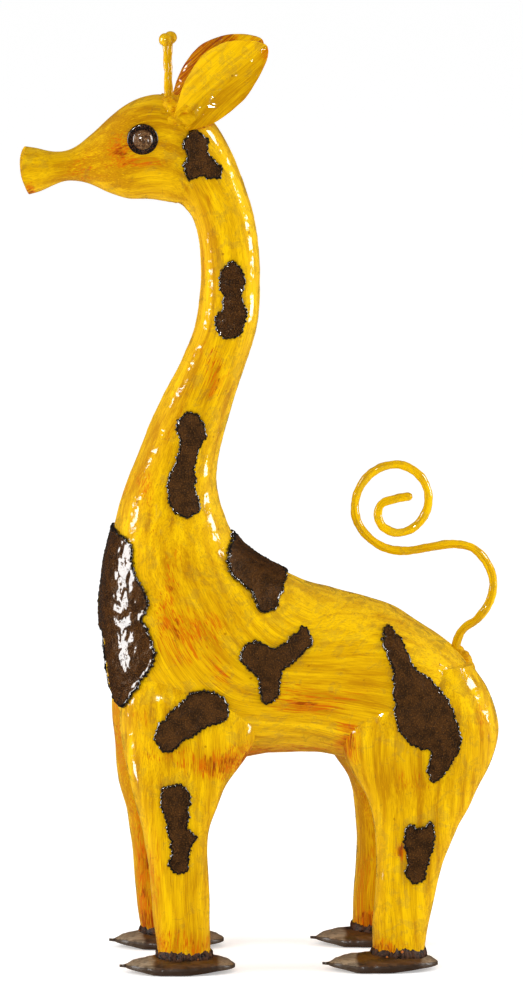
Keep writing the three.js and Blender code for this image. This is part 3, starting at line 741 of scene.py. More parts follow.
# melted weld metal: lumps run together, remeshed and roughened
def weldPiece(name, node, lumps, seed):
    shaped = bmesh.new()
    for centre, radii in lumps:
        made = bmesh.ops.create_icosphere(shaped, subdivisions=4, radius=1.0)
        for vert in made["verts"]:
            swell = 1 + 0.16 * noise.noise(vert.co * 2.2 + Vector(centre) + Vector((seed, 0, 0)))
            vert.co = Vector([c + r * k * swell for c, r, k in zip(centre, radii, vert.co)])
    rough = bpy.data.meshes.new(name + "Rough")
    shaped.to_mesh(rough)
    shaped.free()
    holder = bpy.data.objects.new(name + "Rough", rough)
    bpy.context.scene.collection.objects.link(holder)
    remesh = holder.modifiers.new("run together", "REMESH")
    remesh.mode = "VOXEL"
    remesh.voxel_size = weldVoxel
    relax = holder.modifiers.new("soften", "SMOOTH")
    relax.iterations = 4
    worked = holder.evaluated_get(bpy.context.evaluated_depsgraph_get())
    done = worked.to_mesh()
    points = np.array([v.co for v in done.vertices])
    normals = np.array([v.normal for v in done.vertices])
    faces = [tuple(p.vertices) for p in done.polygons]
    worked.to_mesh_clear()
    bpy.data.objects.remove(holder)
    bpy.data.meshes.remove(rough)
    points = points + normals * (0.45 * lumpy(points, 2.4, seed))[:, None]
    warm = 0.35 + 0.35 * lumpy(points, 6, seed + 1)
    attributes = {"strokes": points[:, [0, 2, 1]], "warm": warm,
                  "ochre": np.full(len(points), 0.35)}
    makePiece(name, points, faces, node, attributes, crease=70)


print("weld metal")
for sideName, side in sides.items():
    shift = ear["rightShift"] if side > 0 else 0.0
    weldPiece(f"earWeld{sideName.capitalize()}", f"ear_weld_{sideName}", [
        ([-59 + shift / 2, side * 10, 588], [8, 6.5, 7]),
        ([-63.5, side * 7, 590], [4.5, 4, 5.5]),
        ([-66, side * 12, 584], [4.5, 5, 5]),
        ([-58, side * 16, 580], [6, 3.6, 5.5]),
        ([-49 + shift, side * 15.5, 581], [7, 4.4, 5]),
        ([-52 + shift, side * 14, 588], [6, 4.5, 5.5]),
    ], 5.5 + side)
weldPiece("tailWeld", "tail_weld", [
    ([140.5, 0, 203], [6.5, 6.5, 7.5]), ([143.5, -1.5, 198], [5, 6, 6.5]),
    ([137, 1, 210], [4.6, 4.6, 4.5]), ([141, 3, 205], [5, 5, 6]),
], 8.2)


# Eyes: a washer with a domed rivet in its hole. Profiles give radius and height
# over the skin, the washer's runs back to its start, the rivet's is capped
eye = {
    "x": -79.8, "z": 568.0, "y": 20.7, "steps": 72,
    "washer": [[5.9, -1.5], [10.4, -1.5], [10.55, 0.3], [10.5, 1.1], [10.1, 1.6], [9.2, 1.78],
               [8.0, 1.72], [6.9, 1.6], [6.2, 1.35], [5.9, 0.9]],
    "rivet": [[5.5, -1.0], [5.5, 1.6], [6.6, 1.75], [6.85, 2.1], [6.75, 2.7], [6.3, 3.2],
              [5.5, 3.75], [4.7, 4.15], [4.25, 4.1], [3.9, 4.25], [3.2, 4.65], [2.4, 4.95],
              [1.7, 5.1], [1.35, 5.0], [1.1, 5.25], [0.6, 5.5], [0.05, 5.55]],
}


def lathedEye(name, node, profile, closed, sideName, seed):
    side = sides[sideName]
    line = np.array(profile)
    fine = curveThrough(line, np.linspace(0, len(line) - 1, 4 * (len(line) - 1) + 1))
    angle = np.linspace(0, 2 * math.pi, eye["steps"], endpoint=False)
    grid = np.empty((len(fine), eye["steps"], 3))
    grid[..., 0] = fine[:, :1] * np.cos(angle)
    grid[..., 2] = fine[:, :1] * np.sin(angle)
    grid[..., 1] = side * np.broadcast_to(fine[:, 1:2], grid.shape[:2])
    grid[..., 1] += side * (0.22 * lumpy(grid, 3.5, seed) + 0.1 * lumpy(grid, 1.4, seed + 1))
    grid[..., 0] *= 1 + 0.02 * lumpy(grid, 4, seed + 2)
    radius = fine[:, 0]
    fromRim = np.minimum(np.abs(radius - radius.min()), np.abs(radius - radius.max()))
    edges = np.repeat(fromRim, eye["steps"])
    grid = grid + [eye["x"], side * eye["y"], eye["z"]]
    rows, cols = grid.shape[:2]
    if closed:
        points = grid.reshape(-1, 3)
        faces = gridFaces(rows, cols, closed=True)
        last = (rows - 1) * cols
        for col in range(cols):
            faces.append((last + col, last + (col + 1) % cols, (col + 1) % cols, col))
    else:
        points, faces = cappedPoints(grid), cappedFaces(grid)
        edges = np.append(edges, [0, 3])
    attributes = {"strokes": points - points.mean(0), "edge": edges}
    makePiece(name, points, faces, node, attributes, crease=60)


print("eyes")
for sideName in sides:
    cap = sideName.capitalize()
    lathedEye(f"eyeWasher{cap}", f"eye_washer_{sideName}", eye["washer"], True, sideName, 51)
    lathedEye(f"eyeRivet{cap}", f"eye_rivet_{sideName}", eye["rivet"], False, sideName, 55)


# Spot plates: torch-cut outlines in x and z, and the way each plate faces on the left
spots = {
    "nape": {"facing": [0, -1, 0], "gloss": 0.4, "outline": [
        [-47, 573], [-40, 572], [-35, 565], [-36, 559], [-31, 554], [-26, 546], [-27, 540],
        [-35, 540], [-41, 542], [-48, 539], [-52, 547], [-50, 556], [-53, 565]]},
    "upper_neck": {"facing": [0, -1, 0], "gloss": 0.7, "outline": [
        [-20, 484], [-12, 477], [-11, 469], [-13, 460], [-9, 449], [-11, 439], [-18, 430],
        [-26, 431], [-31, 442], [-25, 456], [-28, 471]]},
    "mid_neck": {"facing": [0, -1, 0], "outline": [
        [-51, 381], [-42, 378], [-37, 367], [-43, 353], [-45, 332], [-42, 315], [-51, 309.5],
        [-61, 315], [-64.5, 331], [-60, 345], [-55, 359], [-58, 371]]},
    "chest": {"facing": [-0.8, -0.6, 0], "wrap": "front", "gloss": 0.8, "outline": [
        [-112, 303], [-98, 300], [-88.5, 291], [-85.5, 272], [-79, 261], [-77, 250], [-80, 242],
        [-74, 227], [-74, 211], [-82, 199], [-96, 181], [-99, 186], [-103, 212], [-105, 228],
        [-112, 234]]},
    "withers": {"facing": [0, -0.75, 0.65], "wrap": "top", "outline": [
        [-20, 292], [-12, 297], [25, 277], [17, 264], [9, 247], [0, 245.5], [-9, 260],
        [-20, 269], [-24, 280]]},
    "flank": {"facing": [0, -1, 0], "outline": [
        [-16, 216], [-13, 224], [-4, 227], [7, 222.5], [18, 228], [28, 235.5], [34, 226],
        [26, 216], [14, 207], [9, 187], [-1, 184.5], [-4, 200], [-13, 210]]},
    "shoulder": {"facing": [0, -1, 0], "outline": [
        [-47, 194.5], [-28, 191], [-23, 181], [-27, 173], [-38, 170], [-46, 165], [-54, 161],
        [-60, 154], [-70, 154], [-74, 165], [-66, 178], [-55, 188]]},
    "foreleg": {"facing": [0, -1, 0], "outline": [
        [-69, 128.5], [-57, 131.5], [-50, 124], [-51, 110], [-52, 102], [-46.5, 95], [-51, 85],
        [-53, 72], [-60, 69.5], [-66, 75], [-64, 86], [-67, 103], [-71, 120]]},
    "haunch": {"facing": [0, -1, 0], "outline": [
        [86, 235], [96, 223], [104, 208], [120, 194], [129, 180], [134.5, 157], [125, 138],
        [116, 129.5], [111, 139], [113, 151], [101, 155], [92, 166], [89, 182], [87.5, 207],
        [81, 226]]},
    "hind_leg": {"facing": [0, -1, 0], "outline": [
        [99, 102.5], [107, 99], [113, 103.5], [117, 94], [113, 79], [109, 64], [102, 60.5],
        [96, 68], [97, 79], [95, 89]]},
}
plate = {
    "outlineStep": 1.5, "spacing": 0.65, "gridStep": 1.1, "scallop": 3.1, "gloss": 0.25,
    "thick": 2.0, "sunk": 0.35, "rimTop": 1.3,
    "centre": {"left": 3.0, "right": 5.0},
    "legShift": {"foreleg": -5.5, "hind_leg": -6.0},
}


def closedCurve(points, spacing):
    points = np.asarray(points, float)
    ring = np.vstack([points[-1:], points, points[:2]])
    places = rowPlaces(ring, spacing)
    places = places[(places >= 1) & (places < len(points) + 1)]
    return curveThrough(ring, places)


def evenly(points, spacing):
    loop = np.vstack([points, points[:1]])
    travel = travelled(loop)
    count = max(12, int(travel[-1] / spacing))
    at = np.linspace(0, travel[-1], count, endpoint=False)
    return np.column_stack([np.interp(at, travel, loop[:, k]) for k in range(loop.shape[1])])


def insideLoop(points, loop):
    x, y = points[:, 0], points[:, 1]
    inside = np.zeros(len(points), bool)
    for (ax, ay), (bx, by) in zip(loop, np.roll(loop, -1, 0)):
        crosses = (ay > y) != (by > y)
        where = ax + (y - ay) * (bx - ax) / (by - ay if by != ay else 1e-9)
        inside ^= crosses & (x < where)
    return inside


def loopDistance(points, loop):
    best = np.full(len(points), 1e9)
    for a, b in zip(loop, np.roll(loop, -1, 0)):
        line = b - a
        share = np.clip(((points - a) @ line) / max(line @ line, 1e-9), 0, 1)
        gap = np.linalg.norm(points - (a + share[:, None] * line), axis=1)
        best = np.minimum(best, gap)
    return best


def triangleEdges(triangle):
    return list(zip(triangle, triangle[1:] + triangle[:1]))


# the largest set of triangles joined by edges, so no scrap is left loose
def largestPatch(triangles):
    byEdge = {}
    for index, triangle in enumerate(triangles):
        for edge in triangleEdges(triangle):
            byEdge.setdefault(tuple(sorted(edge)), []).append(index)
    seen, best = set(), []
    for first in range(len(triangles)):
        if first in seen:
            continue
        seen.add(first)
        patch, waiting = [], [first]
        while waiting:
            index = waiting.pop()
            patch.append(index)
            for edge in triangleEdges(triangles[index]):
                for other in byEdge[tuple(sorted(edge))]:
                    if other not in seen:
                        seen.add(other)
                        waiting.append(other)
        if len(patch) > len(best):
            best = patch
    return [triangles[index] for index in sorted(best)]


# the outline laid on the skin from the side, a wrapped plate goes on past the middle
def outlineOnSkin(name, sideName, tree):
    side, spot = sides[sideName], spots[name]
    shift = plate["legShift"].get(name, 0.0) if side > 0 else 0.0
    centreY = plate["centre"][sideName]
    marks = []
    for x, z in closedCurve(spot["outline"], plate["outlineStep"]):
        hit = tree.ray_cast(Vector((x + shift, side * 150, z)), Vector((0, -side, 0)))[0]
        if "wrap" in spot and hit is not None and side * hit.y < -side * centreY:
            hit = None
        if hit is None and spot.get("wrap") == "front":
            hit = tree.ray_cast(Vector((-250, centreY, z)), Vector((1, 0, 0)))[0]
        if hit is None and spot.get("wrap") == "top":
            hit = tree.ray_cast(Vector((x, centreY, 330)), Vector((0, 0, -1)))[0]
        if hit is not None:
            marks.append(hit)
    return np.array(marks)


# torch-cut rim: scallops and random bites along the outline, and the way out of it
def jaggedRim(flat, seed):
    loop = evenly(flat, plate["spacing"])
    loop = (np.roll(loop, 1, 0) + loop * 2 + np.roll(loop, -1, 0)) / 4
    ahead = np.roll(loop, -1, 0)
    tangent = unit(ahead - np.roll(loop, 1, 0))
    outward = np.column_stack([tangent[:, 1], -tangent[:, 0]])
    if np.sum(loop[:, 0] * ahead[:, 1] - loop[:, 1] * ahead[:, 0]) < 0:
        outward = -outward
    walk = np.arange(len(loop))
    cusps = max(8, round(len(loop) * plate["spacing"] / plate["scallop"]))
    scallop = np.abs(np.sin(math.pi * walk * cusps / len(loop) + 0.9 * np.sin(walk / 9.0)))
    spotted = np.column_stack([loop, np.full(len(loop), float(seed))])
    bite = 0.7 * (scallop - 0.55) + 1.1 * lumpy(spotted, 1.7, seed) + 1.5 * lumpy(spotted, 5, seed)
    return loop + outward * bite[:, None], outward


def keptInside(points, loop, margin):
    points = points[insideLoop(points, loop)]
    return points[loopDistance(points, loop) > margin]


# flat points of a plate: its rim, two rows just inside the rim and a shaken grid
def platePoints(jagged, outward, seed):
    low, high = jagged.min(0) - 2, jagged.max(0) + 2
    gridX, gridY = np.meshgrid(*(np.arange(a, b, plate["gridStep"]) for a, b in zip(low, high)))
    inner = np.column_stack([gridX.ravel(), gridY.ravel()])
    shake = random.Random(seed)
    inner += np.array([[shake.uniform(-0.3, 0.3), shake.uniform(-0.3, 0.3)] for _ in inner])
    return np.vstack([
        jagged, keptInside(jagged - outward * 0.5, jagged, 0.3),
        keptInside(jagged[::2] - outward[::2] * 1.1, jagged, 0.8),
        keptInside(inner, jagged, 1.35)])


# flat points dropped onto the skin, with the skin's normals and whether it was met
def dropOnSkin(flat, across, upward, facing, tree):
    points, normals, met = [], [], []
    for u, v in flat:
        start = Vector(across * u + upward * v + facing * 400)
        hit, normal, _, _ = tree.ray_cast(start, Vector(-facing))
        met.append(hit is not None)
        if hit is None:
            hit, normal = Vector((0, 0, 0)), Vector(facing)
        if normal.dot(Vector(facing)) < 0:
            normal = -normal
        points.append(hit)
        normals.append(normal)
    return np.array(points), np.array(normals), met


# height of the plate's face over the skin, 'depth' is the distance to its rim
def plateHeight(skin, depth, wet, seed):
    rise = np.sqrt(np.clip(1 - (1 - np.minimum(depth / 0.9, 1)) ** 2, 0, 1))
    bead = 0.4 * np.exp(-((depth - 0.9) / 0.7) ** 2) * (depth > 0.05)
    ripple = (0.25 + 0.35 * wet) * lumpy(skin, 6, seed)
    ripple += (0.1 + 0.3 * wet) * lumpy(skin * [1, 1, 0.45], 2.1, seed + 1)
    crumbs = 1.1 * np.maximum(0, lumpy(skin, 1.5, seed + 2)) * (depth < 1.9)
    height = plate["rimTop"] + (plate["thick"] - plate["rimTop"]) * rise + bead
    return height + crumbs + ripple * stepBetween(0.6, 3, depth)


# upper and lower triangles, joined by a wall along every free edge
def slabFaces(triangles, size):
    faces = [tuple(t) for t in triangles]
    faces += [tuple(k + size for k in t[::-1]) for t in triangles]
    uses = {}
    for triangle in triangles:
        for a, b in triangleEdges(triangle):
            uses.setdefault((min(a, b), max(a, b)), []).append((a, b))
    for pair in uses.values():
        if len(pair) == 1:
            a, b = pair[0]
            faces.append((b, a, a + size, b + size))
    return faces


def spotPiece(name, sideName, tree, seed):
    facing = np.array(spots[name]["facing"], float)
    facing[1] *= -sides[sideName]
    facing = unit(facing)
    across = unit(np.cross([0, 0, 1.0], facing))
    upward = np.cross(facing, across)
    marks = outlineOnSkin(name, sideName, tree)
    jagged, outward = jaggedRim(np.column_stack([marks @ across, marks @ upward]), seed)
    rim = [(k, (k + 1) % len(jagged)) for k in range(len(jagged))]
    flat, _, triangles = geometry.delaunay_2d_cdt(
        [Vector(p) for p in platePoints(jagged, outward, seed)], rim, [], 1, 1e-4)[:3]
    flat = np.array([[p.x, p.y] for p in flat])
    depth = loopDistance(flat, jagged)
    skin, normals, met = dropOnSkin(flat, across, upward, facing, tree)
    triangles = largestPatch([t for t in triangles if all(met[k] for k in t)])
    gloss = spots[name].get("gloss", plate["gloss"])
    height = plateHeight(skin, depth, gloss, seed)
    points = np.vstack([skin + normals * height[:, None], skin - normals * plate["sunk"]])
    lengthwise = np.column_stack([flat[:, 1], flat[:, 0], np.zeros(len(flat))])
    attributes = {
        "strokes": np.vstack([lengthwise, lengthwise]),
        "edge": np.concatenate([depth, np.zeros(len(flat))]),
        "gloss": np.full(len(points), gloss),
    }
    label = "".join(word.capitalize() for word in name.split("_"))
    makePiece(f"spot{label}{sideName.capitalize()}", points, slabFaces(triangles, len(flat)),
              f"spot_{name}_{sideName}", attributes, crease=50)


print("spot plates")
for sideName in sides:
    sideTree = skinTree(bodyHalves + [
        (legSkin["front", sideName], True), (legSkin["hind", sideName], True)])
    for index, name in enumerate(spots):
        spotPiece(name, sideName, sideTree, 60 + index)


# Shader node groups: each gives masks or values, never a shader
def newGroup(name, inputs, outputs):
    group = bpy.data.node_groups.new(name, "ShaderNodeTree")
    for label, kind, default in inputs:
        socket = group.interface.new_socket(name=label, in_out="INPUT", socket_type=kind)
        if default is not None:
            socket.default_value = default
    for label, kind in outputs:
        group.interface.new_socket(name=label, in_out="OUTPUT", socket_type=kind)
    start = group.nodes.new("NodeGroupInput")
    end = group.nodes.new("NodeGroupOutput")
    return group, start, end


def addNode(tree, kind, sockets=None, **settings):
    node = tree.nodes.new(kind)
    for key, value in settings.items():
        setattr(node, key, value)
    for key, value in (sockets or {}).items():
        if isinstance(value, bpy.types.NodeSocket):
            tree.links.new(value, node.inputs[key])
        else:
            node.inputs[key].default_value = value
    return node


def maths(tree, operation, a, b):
    return addNode(tree, "ShaderNodeMath", {0: a, 1: b}, operation=operation).outputs[0]


def vectorMaths(tree, operation, a, b):
    return addNode(tree, "ShaderNodeVectorMath", {0: a, 1: b}, operation=operation).outputs[0]


def combined(tree, x=0.0, y=0.0, z=0.0):
    return addNode(tree, "ShaderNodeCombineXYZ", {"X": x, "Y": y, "Z": z}).outputs[0]


def between(tree, value, low, high, toLow=0.0, toHigh=1.0):
    return addNode(tree, "ShaderNodeMapRange", {
        "Value": value, "From Min": low, "From Max": high, "To Min": toLow, "To Max": toHigh,
    }, interpolation_type="SMOOTHSTEP").outputs["Result"]


def mixed(tree, factor, a, b, blend="MIX"):
    node = addNode(tree, "ShaderNodeMix", data_type="RGBA", blend_type=blend)
    for index, value in ((0, factor), (6, a), (7, b)):
        if isinstance(value, bpy.types.NodeSocket):
            tree.links.new(value, node.inputs[index])
        elif index == 0:
            node.inputs[index].default_value = value
        else:
            node.inputs[index].default_value = tuple(value) + (1.0,)
    return node.outputs[2]


def noiseValue(tree, vector, scale, detail=3.0, rough=0.55, distortion=0.0):
    return addNode(tree, "ShaderNodeTexNoise", {
        "Vector": vector, "Scale": scale, "Detail": detail, "Roughness": rough,
        "Distortion": distortion}).outputs[0]


# long thin brush marks: the first coordinate runs along the strokes, in millimetres
def makeBrushStrokes():
    group, start, end = newGroup("brushStrokes", [
        ("Strokes", "NodeSocketVector", None), ("Length", "NodeSocketFloat", 60.0),
        ("Width", "NodeSocketFloat", 5.0), ("Seed", "NodeSocketFloat", 0.0),
    ], [("Broad", "NodeSocketFloat"), ("Fine", "NodeSocketFloat"), ("Hair", "NodeSocketFloat"),
        ("Ridges", "NodeSocketFloat")])
    outputs = start.outputs
    alongScale = maths(group, "DIVIDE", 1.0, outputs["Length"])
    acrossScale = maths(group, "DIVIDE", 1.0, outputs["Width"])
    scales = combined(group, alongScale, acrossScale, acrossScale)
    wander = maths(group, "MULTIPLY", noiseValue(group, outputs["Strokes"], 0.012, 1.0), 12.0)
    bent = vectorMaths(group, "ADD", outputs["Strokes"], combined(group, y=wander))
    place = vectorMaths(group, "MULTIPLY", bent, scales)
    seeded = vectorMaths(group, "ADD", place, combined(group, outputs["Seed"], outputs["Seed"]))
    finer = vectorMaths(group, "MULTIPLY", seeded, (1.4, 5.0, 5.0))
    thin = vectorMaths(group, "MULTIPLY", seeded, (1.5, 13.0, 13.0))
    broad = noiseValue(group, seeded, 1.0, 3.0, 0.6)
    fine = noiseValue(group, finer, 1.0, 4.0, 0.65)
    hair = noiseValue(group, thin, 1.0, 2.0, 0.5)
    ridges = maths(group, "ADD", maths(group, "MULTIPLY", broad, 0.35),
                   maths(group, "MULTIPLY", fine, 0.65))
    for label, value in (("Broad", broad), ("Fine", fine), ("Hair", hair), ("Ridges", ridges)):
        group.links.new(value, end.inputs[label])
    return group


# patches where an under layer shows, torn along the strokes
def makeBarePatches():
    group, start, end = newGroup("barePatches", [
        ("Strokes", "NodeSocketVector", None), ("Amount", "NodeSocketFloat", 0.0),
        ("Size", "NodeSocketFloat", 8.0), ("Tear", "NodeSocketFloat", 0.12),
        ("Seed", "NodeSocketFloat", 0.0)], [("Mask", "NodeSocketFloat")])
    outputs = start.outputs
    scale = maths(group, "DIVIDE", 1.0, outputs["Size"])
    stretched = vectorMaths(group, "MULTIPLY", outputs["Strokes"], (0.35, 1.0, 1.0))
    seeded = vectorMaths(group, "ADD", stretched, combined(group, y=outputs["Seed"]))
    cloud = noiseValue(group, seeded, scale, 5.0, 0.62, 0.3)
    reached = maths(group, "ADD", cloud, maths(group, "MULTIPLY", outputs["Amount"], 0.42))
    mask = between(group, reached, 0.66, maths(group, "ADD", 0.66, outputs["Tear"]))
    group.links.new(mask, end.inputs["Mask"])
    return group


# small specks and pits scattered over a surface
def makeSpecks():
    group, start, end = newGroup("specks", [
        ("Place", "NodeSocketVector", None), ("Size", "NodeSocketFloat", 1.0),
        ("Amount", "NodeSocketFloat", 0.5)], [("Mask", "NodeSocketFloat")])
    outputs = start.outputs
    scale = maths(group, "DIVIDE", 1.0, outputs["Size"])
    cell = addNode(group, "ShaderNodeTexVoronoi", {
        "Vector": outputs["Place"], "Scale": scale}, feature="F1")
    pick = addNode(group, "ShaderNodeSeparateColor", {"Color": cell.outputs["Color"]}).outputs[0]
    chosen = maths(group, "LESS_THAN", pick, outputs["Amount"])
    dot = between(group, cell.outputs["Distance"], 0.36, 0.2)
    group.links.new(maths(group, "MULTIPLY", chosen, dot), end.inputs["Mask"])
    return group


# blotches where the clear lacquer pooled and shines
def makeLacquerPatches():
    group, start, end = newGroup("lacquerPatches", [
        ("Place", "NodeSocketVector", None), ("Size", "NodeSocketFloat", 5.0),
        ("Amount", "NodeSocketFloat", 0.5)], [("Mask", "NodeSocketFloat")])
    outputs = start.outputs
    scale = maths(group, "DIVIDE", 1.0, outputs["Size"])
    cloud = noiseValue(group, outputs["Place"], scale, 6.0, 0.75, 0.6)
    reached = maths(group, "ADD", cloud, maths(group, "MULTIPLY", outputs["Amount"], 0.3))
    group.links.new(between(group, reached, 0.65, 0.68), end.inputs["Mask"])
    return group


# dark burnt band along a cut edge, 'Edge' is the distance to the rim in millimetres
def makeBurntRim():
    group, start, end = newGroup("burntRim", [
        ("Edge", "NodeSocketFloat", 5.0), ("Place", "NodeSocketVector", None),
        ("Width", "NodeSocketFloat", 1.4)], [("Mask", "NodeSocketFloat")])
    outputs = start.outputs
    ragged = maths(group, "MULTIPLY", noiseValue(group, outputs["Place"], 0.45, 4.0), 1.7)
    reach = maths(group, "MULTIPLY", outputs["Width"], ragged)
    mask = between(group, maths(group, "DIVIDE", outputs["Edge"], reach), 1.25, 0.6)
    group.links.new(mask, end.inputs["Mask"])
    return group


groups = {
    "brushStrokes": makeBrushStrokes(), "barePatches": makeBarePatches(),
    "specks": makeSpecks(), "burntRim": makeBurntRim(), "lacquerPatches": makeLacquerPatches(),
}


def placeGroup(tree, name, sockets):
    return addNode(tree, "ShaderNodeGroup", sockets, node_tree=groups[name]).outputs


def attribute(tree, name, vector=False):
    node = addNode(tree, "ShaderNodeAttribute", attribute_name=name)
    return node.outputs["Vector" if vector else "Fac"]


lacquer = {"ior": 2.3, "roughness": 0.07}
plainTint = (1.0, 1.0, 1.0)


# paint under clear lacquer, 'tint' colours the soft shine of the paint itself
def newPaint(name, specular, tint=plainTint, coat=0.0, coatRoughness=0.1):
    material = bpy.data.materials.new(name)
    material.use_nodes = True
    tree = material.node_tree
    shader = tree.nodes["Principled BSDF"]
    shader.inputs["Specular IOR Level"].default_value = specular
    shader.inputs["Specular Tint"].default_value = tuple(tint) + (1.0,)
    shader.inputs["Coat Weight"].default_value = coat
    shader.inputs["Coat Roughness"].default_value = coatRoughness
    shader.inputs["Coat IOR"].default_value = lacquer["ior"]
    return material, tree, shader


def finishPaint(tree, shader, colour, roughness, height, strength, distance):
    bump = addNode(tree, "ShaderNodeBump", {
        "Height": height, "Strength": strength, "Distance": distance * mm})
    tree.links.new(colour, shader.inputs["Base Color"])
    tree.links.new(roughness, shader.inputs["Roughness"])
    tree.links.new(bump.outputs[0], shader.inputs["Normal"])


yellows = {
    "body": {"length": 60.0, "width": 7.0, "seed": 3.0, "bump": 0.5},
    "leg": {"length": 55.0, "width": 6.0, "seed": 17.0, "bump": 0.5},
    "ear": {"length": 40.0, "width": 4.5, "seed": 29.0, "bump": 0.55},
    "weld": {"length": 9.0, "width": 5.0, "seed": 41.0, "bump": 0.7},
}
yellow = {
    "bright": (0.79, 0.47, 0.001), "middle": (0.62, 0.335, 0.0008), "ochre": (0.45, 0.2, 0.0006),
    "hair": (0.3, 0.115, 0.0006), "orange": (0.52, 0.1, 0.0005), "rust": (0.24, 0.027, 0.0006),
    "shine": (1.0, 0.72, 0.08),
}


def yellowPaint(name):
    look = yellows[name]
    material, tree, shader = newPaint(
        name + "Yellow", 0.25, yellow["shine"], coatRoughness=lacquer["roughness"])
    strokes = attribute(tree, "strokes", True)
    warm = attribute(tree, "warm")
    ochre = attribute(tree, "ochre")
    marks = placeGroup(tree, "brushStrokes", {
        "Strokes": strokes, "Length": look["length"], "Width": look["width"],
        "Seed": look["seed"]})
    # lighter or darker by the brush noise, and toward the ochre colour where the ochre value
    # paints shade, toward the bright yellow where it paints light
    light = maths(tree, "SUBTRACT", marks["Broad"], maths(tree, "MULTIPLY", ochre, 0.22))
    colour = mixed(tree, between(tree, light, 0.26, 0.46), yellow["ochre"], yellow["middle"])
    colour = mixed(tree, between(tree, light, 0.44, 0.64), colour, yellow["bright"])
    # dry brush patches: fine hairs of darker paint dragged over the yellow, more of them where the
    # ochre value paints shade
    dryness = maths(tree, "ADD", warm, maths(tree, "MULTIPLY", ochre, 0.35))
    dry = placeGroup(tree, "barePatches", {
        "Strokes": strokes, "Amount": dryness, "Size": 16.0, "Tear": 0.22,
        "Seed": look["seed"] + 4.0})["Mask"]
    hairs = between(tree, marks["Hair"], 0.47, 0.4)
    hairAmount = maths(tree, "MULTIPLY", hairs, between(tree, dry, 0.0, 1.0, 0.36, 1.0))
    colour = mixed(tree, hairAmount, colour, mixed(tree, dry, yellow["hair"], yellow["orange"]))
    lightHairs = between(tree, marks["Hair"], 0.56, 0.7, 0.0, 0.5)
    colour = mixed(tree, lightHairs, colour, yellow["bright"])
    under = placeGroup(tree, "barePatches", {
        "Strokes": strokes, "Amount": maths(tree, "SUBTRACT", warm, 0.3), "Size": 7.0,
        "Tear": 0.14, "Seed": look["seed"]})["Mask"]
    streaks = between(tree, marks["Fine"], 0.58, 0.42, 0.15, 0.9)
    colour = mixed(tree, maths(tree, "MULTIPLY", under, streaks), colour, yellow["orange"])
    deep = placeGroup(tree, "barePatches", {
        "Strokes": strokes, "Amount": maths(tree, "SUBTRACT", warm, 0.5), "Size": 4.0,
        "Tear": 0.1, "Seed": look["seed"] + 9.0})["Mask"]
    colour = mixed(tree, maths(tree, "MULTIPLY", deep, streaks), colour, yellow["rust"])
    specks = placeGroup(tree, "specks", {"Place": strokes, "Size": 3.4, "Amount": 0.012})["Mask"]
    colour = mixed(tree, maths(tree, "MULTIPLY", specks, 0.7), colour, yellow["hair"])
    shiny = placeGroup(tree, "lacquerPatches", {
        "Place": strokes, "Size": 9.0,
        "Amount": between(tree, ochre, 0.0, 0.5, 0.45, 0.2)})["Mask"]
    tree.links.new(shiny, shader.inputs["Coat Weight"])
    rough = between(tree, marks["Fine"], 0.35, 0.65, 0.45, 0.6)
    dimples = noiseValue(tree, strokes, 0.3, 3.0, 0.6)
    height = maths(tree, "ADD", marks["Ridges"], maths(tree, "MULTIPLY", marks["Hair"], 0.4))
    height = maths(tree, "ADD", height, maths(tree, "MULTIPLY", dimples, 1.5))
    finishPaint(tree, shader, colour, rough, height, look["bump"], 0.5)
    return material


plateLook = {
    "dark": (0.02, 0.006, 0.0006), "middle": (0.055, 0.018, 0.0016),
    "light": (0.17, 0.066, 0.008), "rim": (0.004, 0.002, 0.0015),
    "shine": (1.0, 0.7, 0.45), "rough": (0.12, 0.5),
}


def platePaint():
    material, tree, shader = newPaint(
        "plateBrown", 0.3, plateLook["shine"], coatRoughness=lacquer["roughness"])
    place = attribute(tree, "strokes", True)
    edge = attribute(tree, "edge")
    gloss = attribute(tree, "gloss")
    cloud = noiseValue(tree, place, 0.12, 4.0, 0.6)
    grain = noiseValue(tree, place, 1.1, 3.0, 0.6)
    colour = mixed(tree, between(tree, cloud, 0.36, 0.62), plateLook["dark"], plateLook["middle"])
    colour = mixed(tree, between(tree, grain, 0.5, 0.68, 0.0, 0.6), colour, plateLook["light"])
    colour = mixed(tree, between(tree, grain, 0.48, 0.34, 0.0, 0.7), colour, plateLook["dark"])
    rim = placeGroup(tree, "burntRim", {"Edge": edge, "Place": place, "Width": 1.7})["Mask"]
    colour = mixed(tree, rim, colour, plateLook["rim"])
    amount = maths(tree, "MAXIMUM", gloss, maths(tree, "MULTIPLY", rim, 0.9))
    shiny = placeGroup(tree, "lacquerPatches", {
        "Place": place, "Size": 3.0, "Amount": amount})["Mask"]
    tree.links.new(shiny, shader.inputs["Coat Weight"])
    low, high = plateLook["rough"]
    rough = between(tree, maths(tree, "MULTIPLY", shiny, gloss), 0.0, 1.0, high, low)
    height = maths(tree, "ADD", maths(tree, "MULTIPLY", grain, 0.4),
                   maths(tree, "MULTIPLY", noiseValue(tree, place, 0.4, 3.0), 1.6))
    finishPaint(tree, shader, colour, rough, height, 0.6, 0.7)
    return material


# the greyish pale brown is a painted reflection on the pad
footLook = {
    "dark": (0.035, 0.013, 0.0015), "middle": (0.09, 0.032, 0.003),
    "light": (0.16, 0.066, 0.012), "worn": (0.36, 0.27, 0.17), "rim": (0.03, 0.013, 0.004),
}


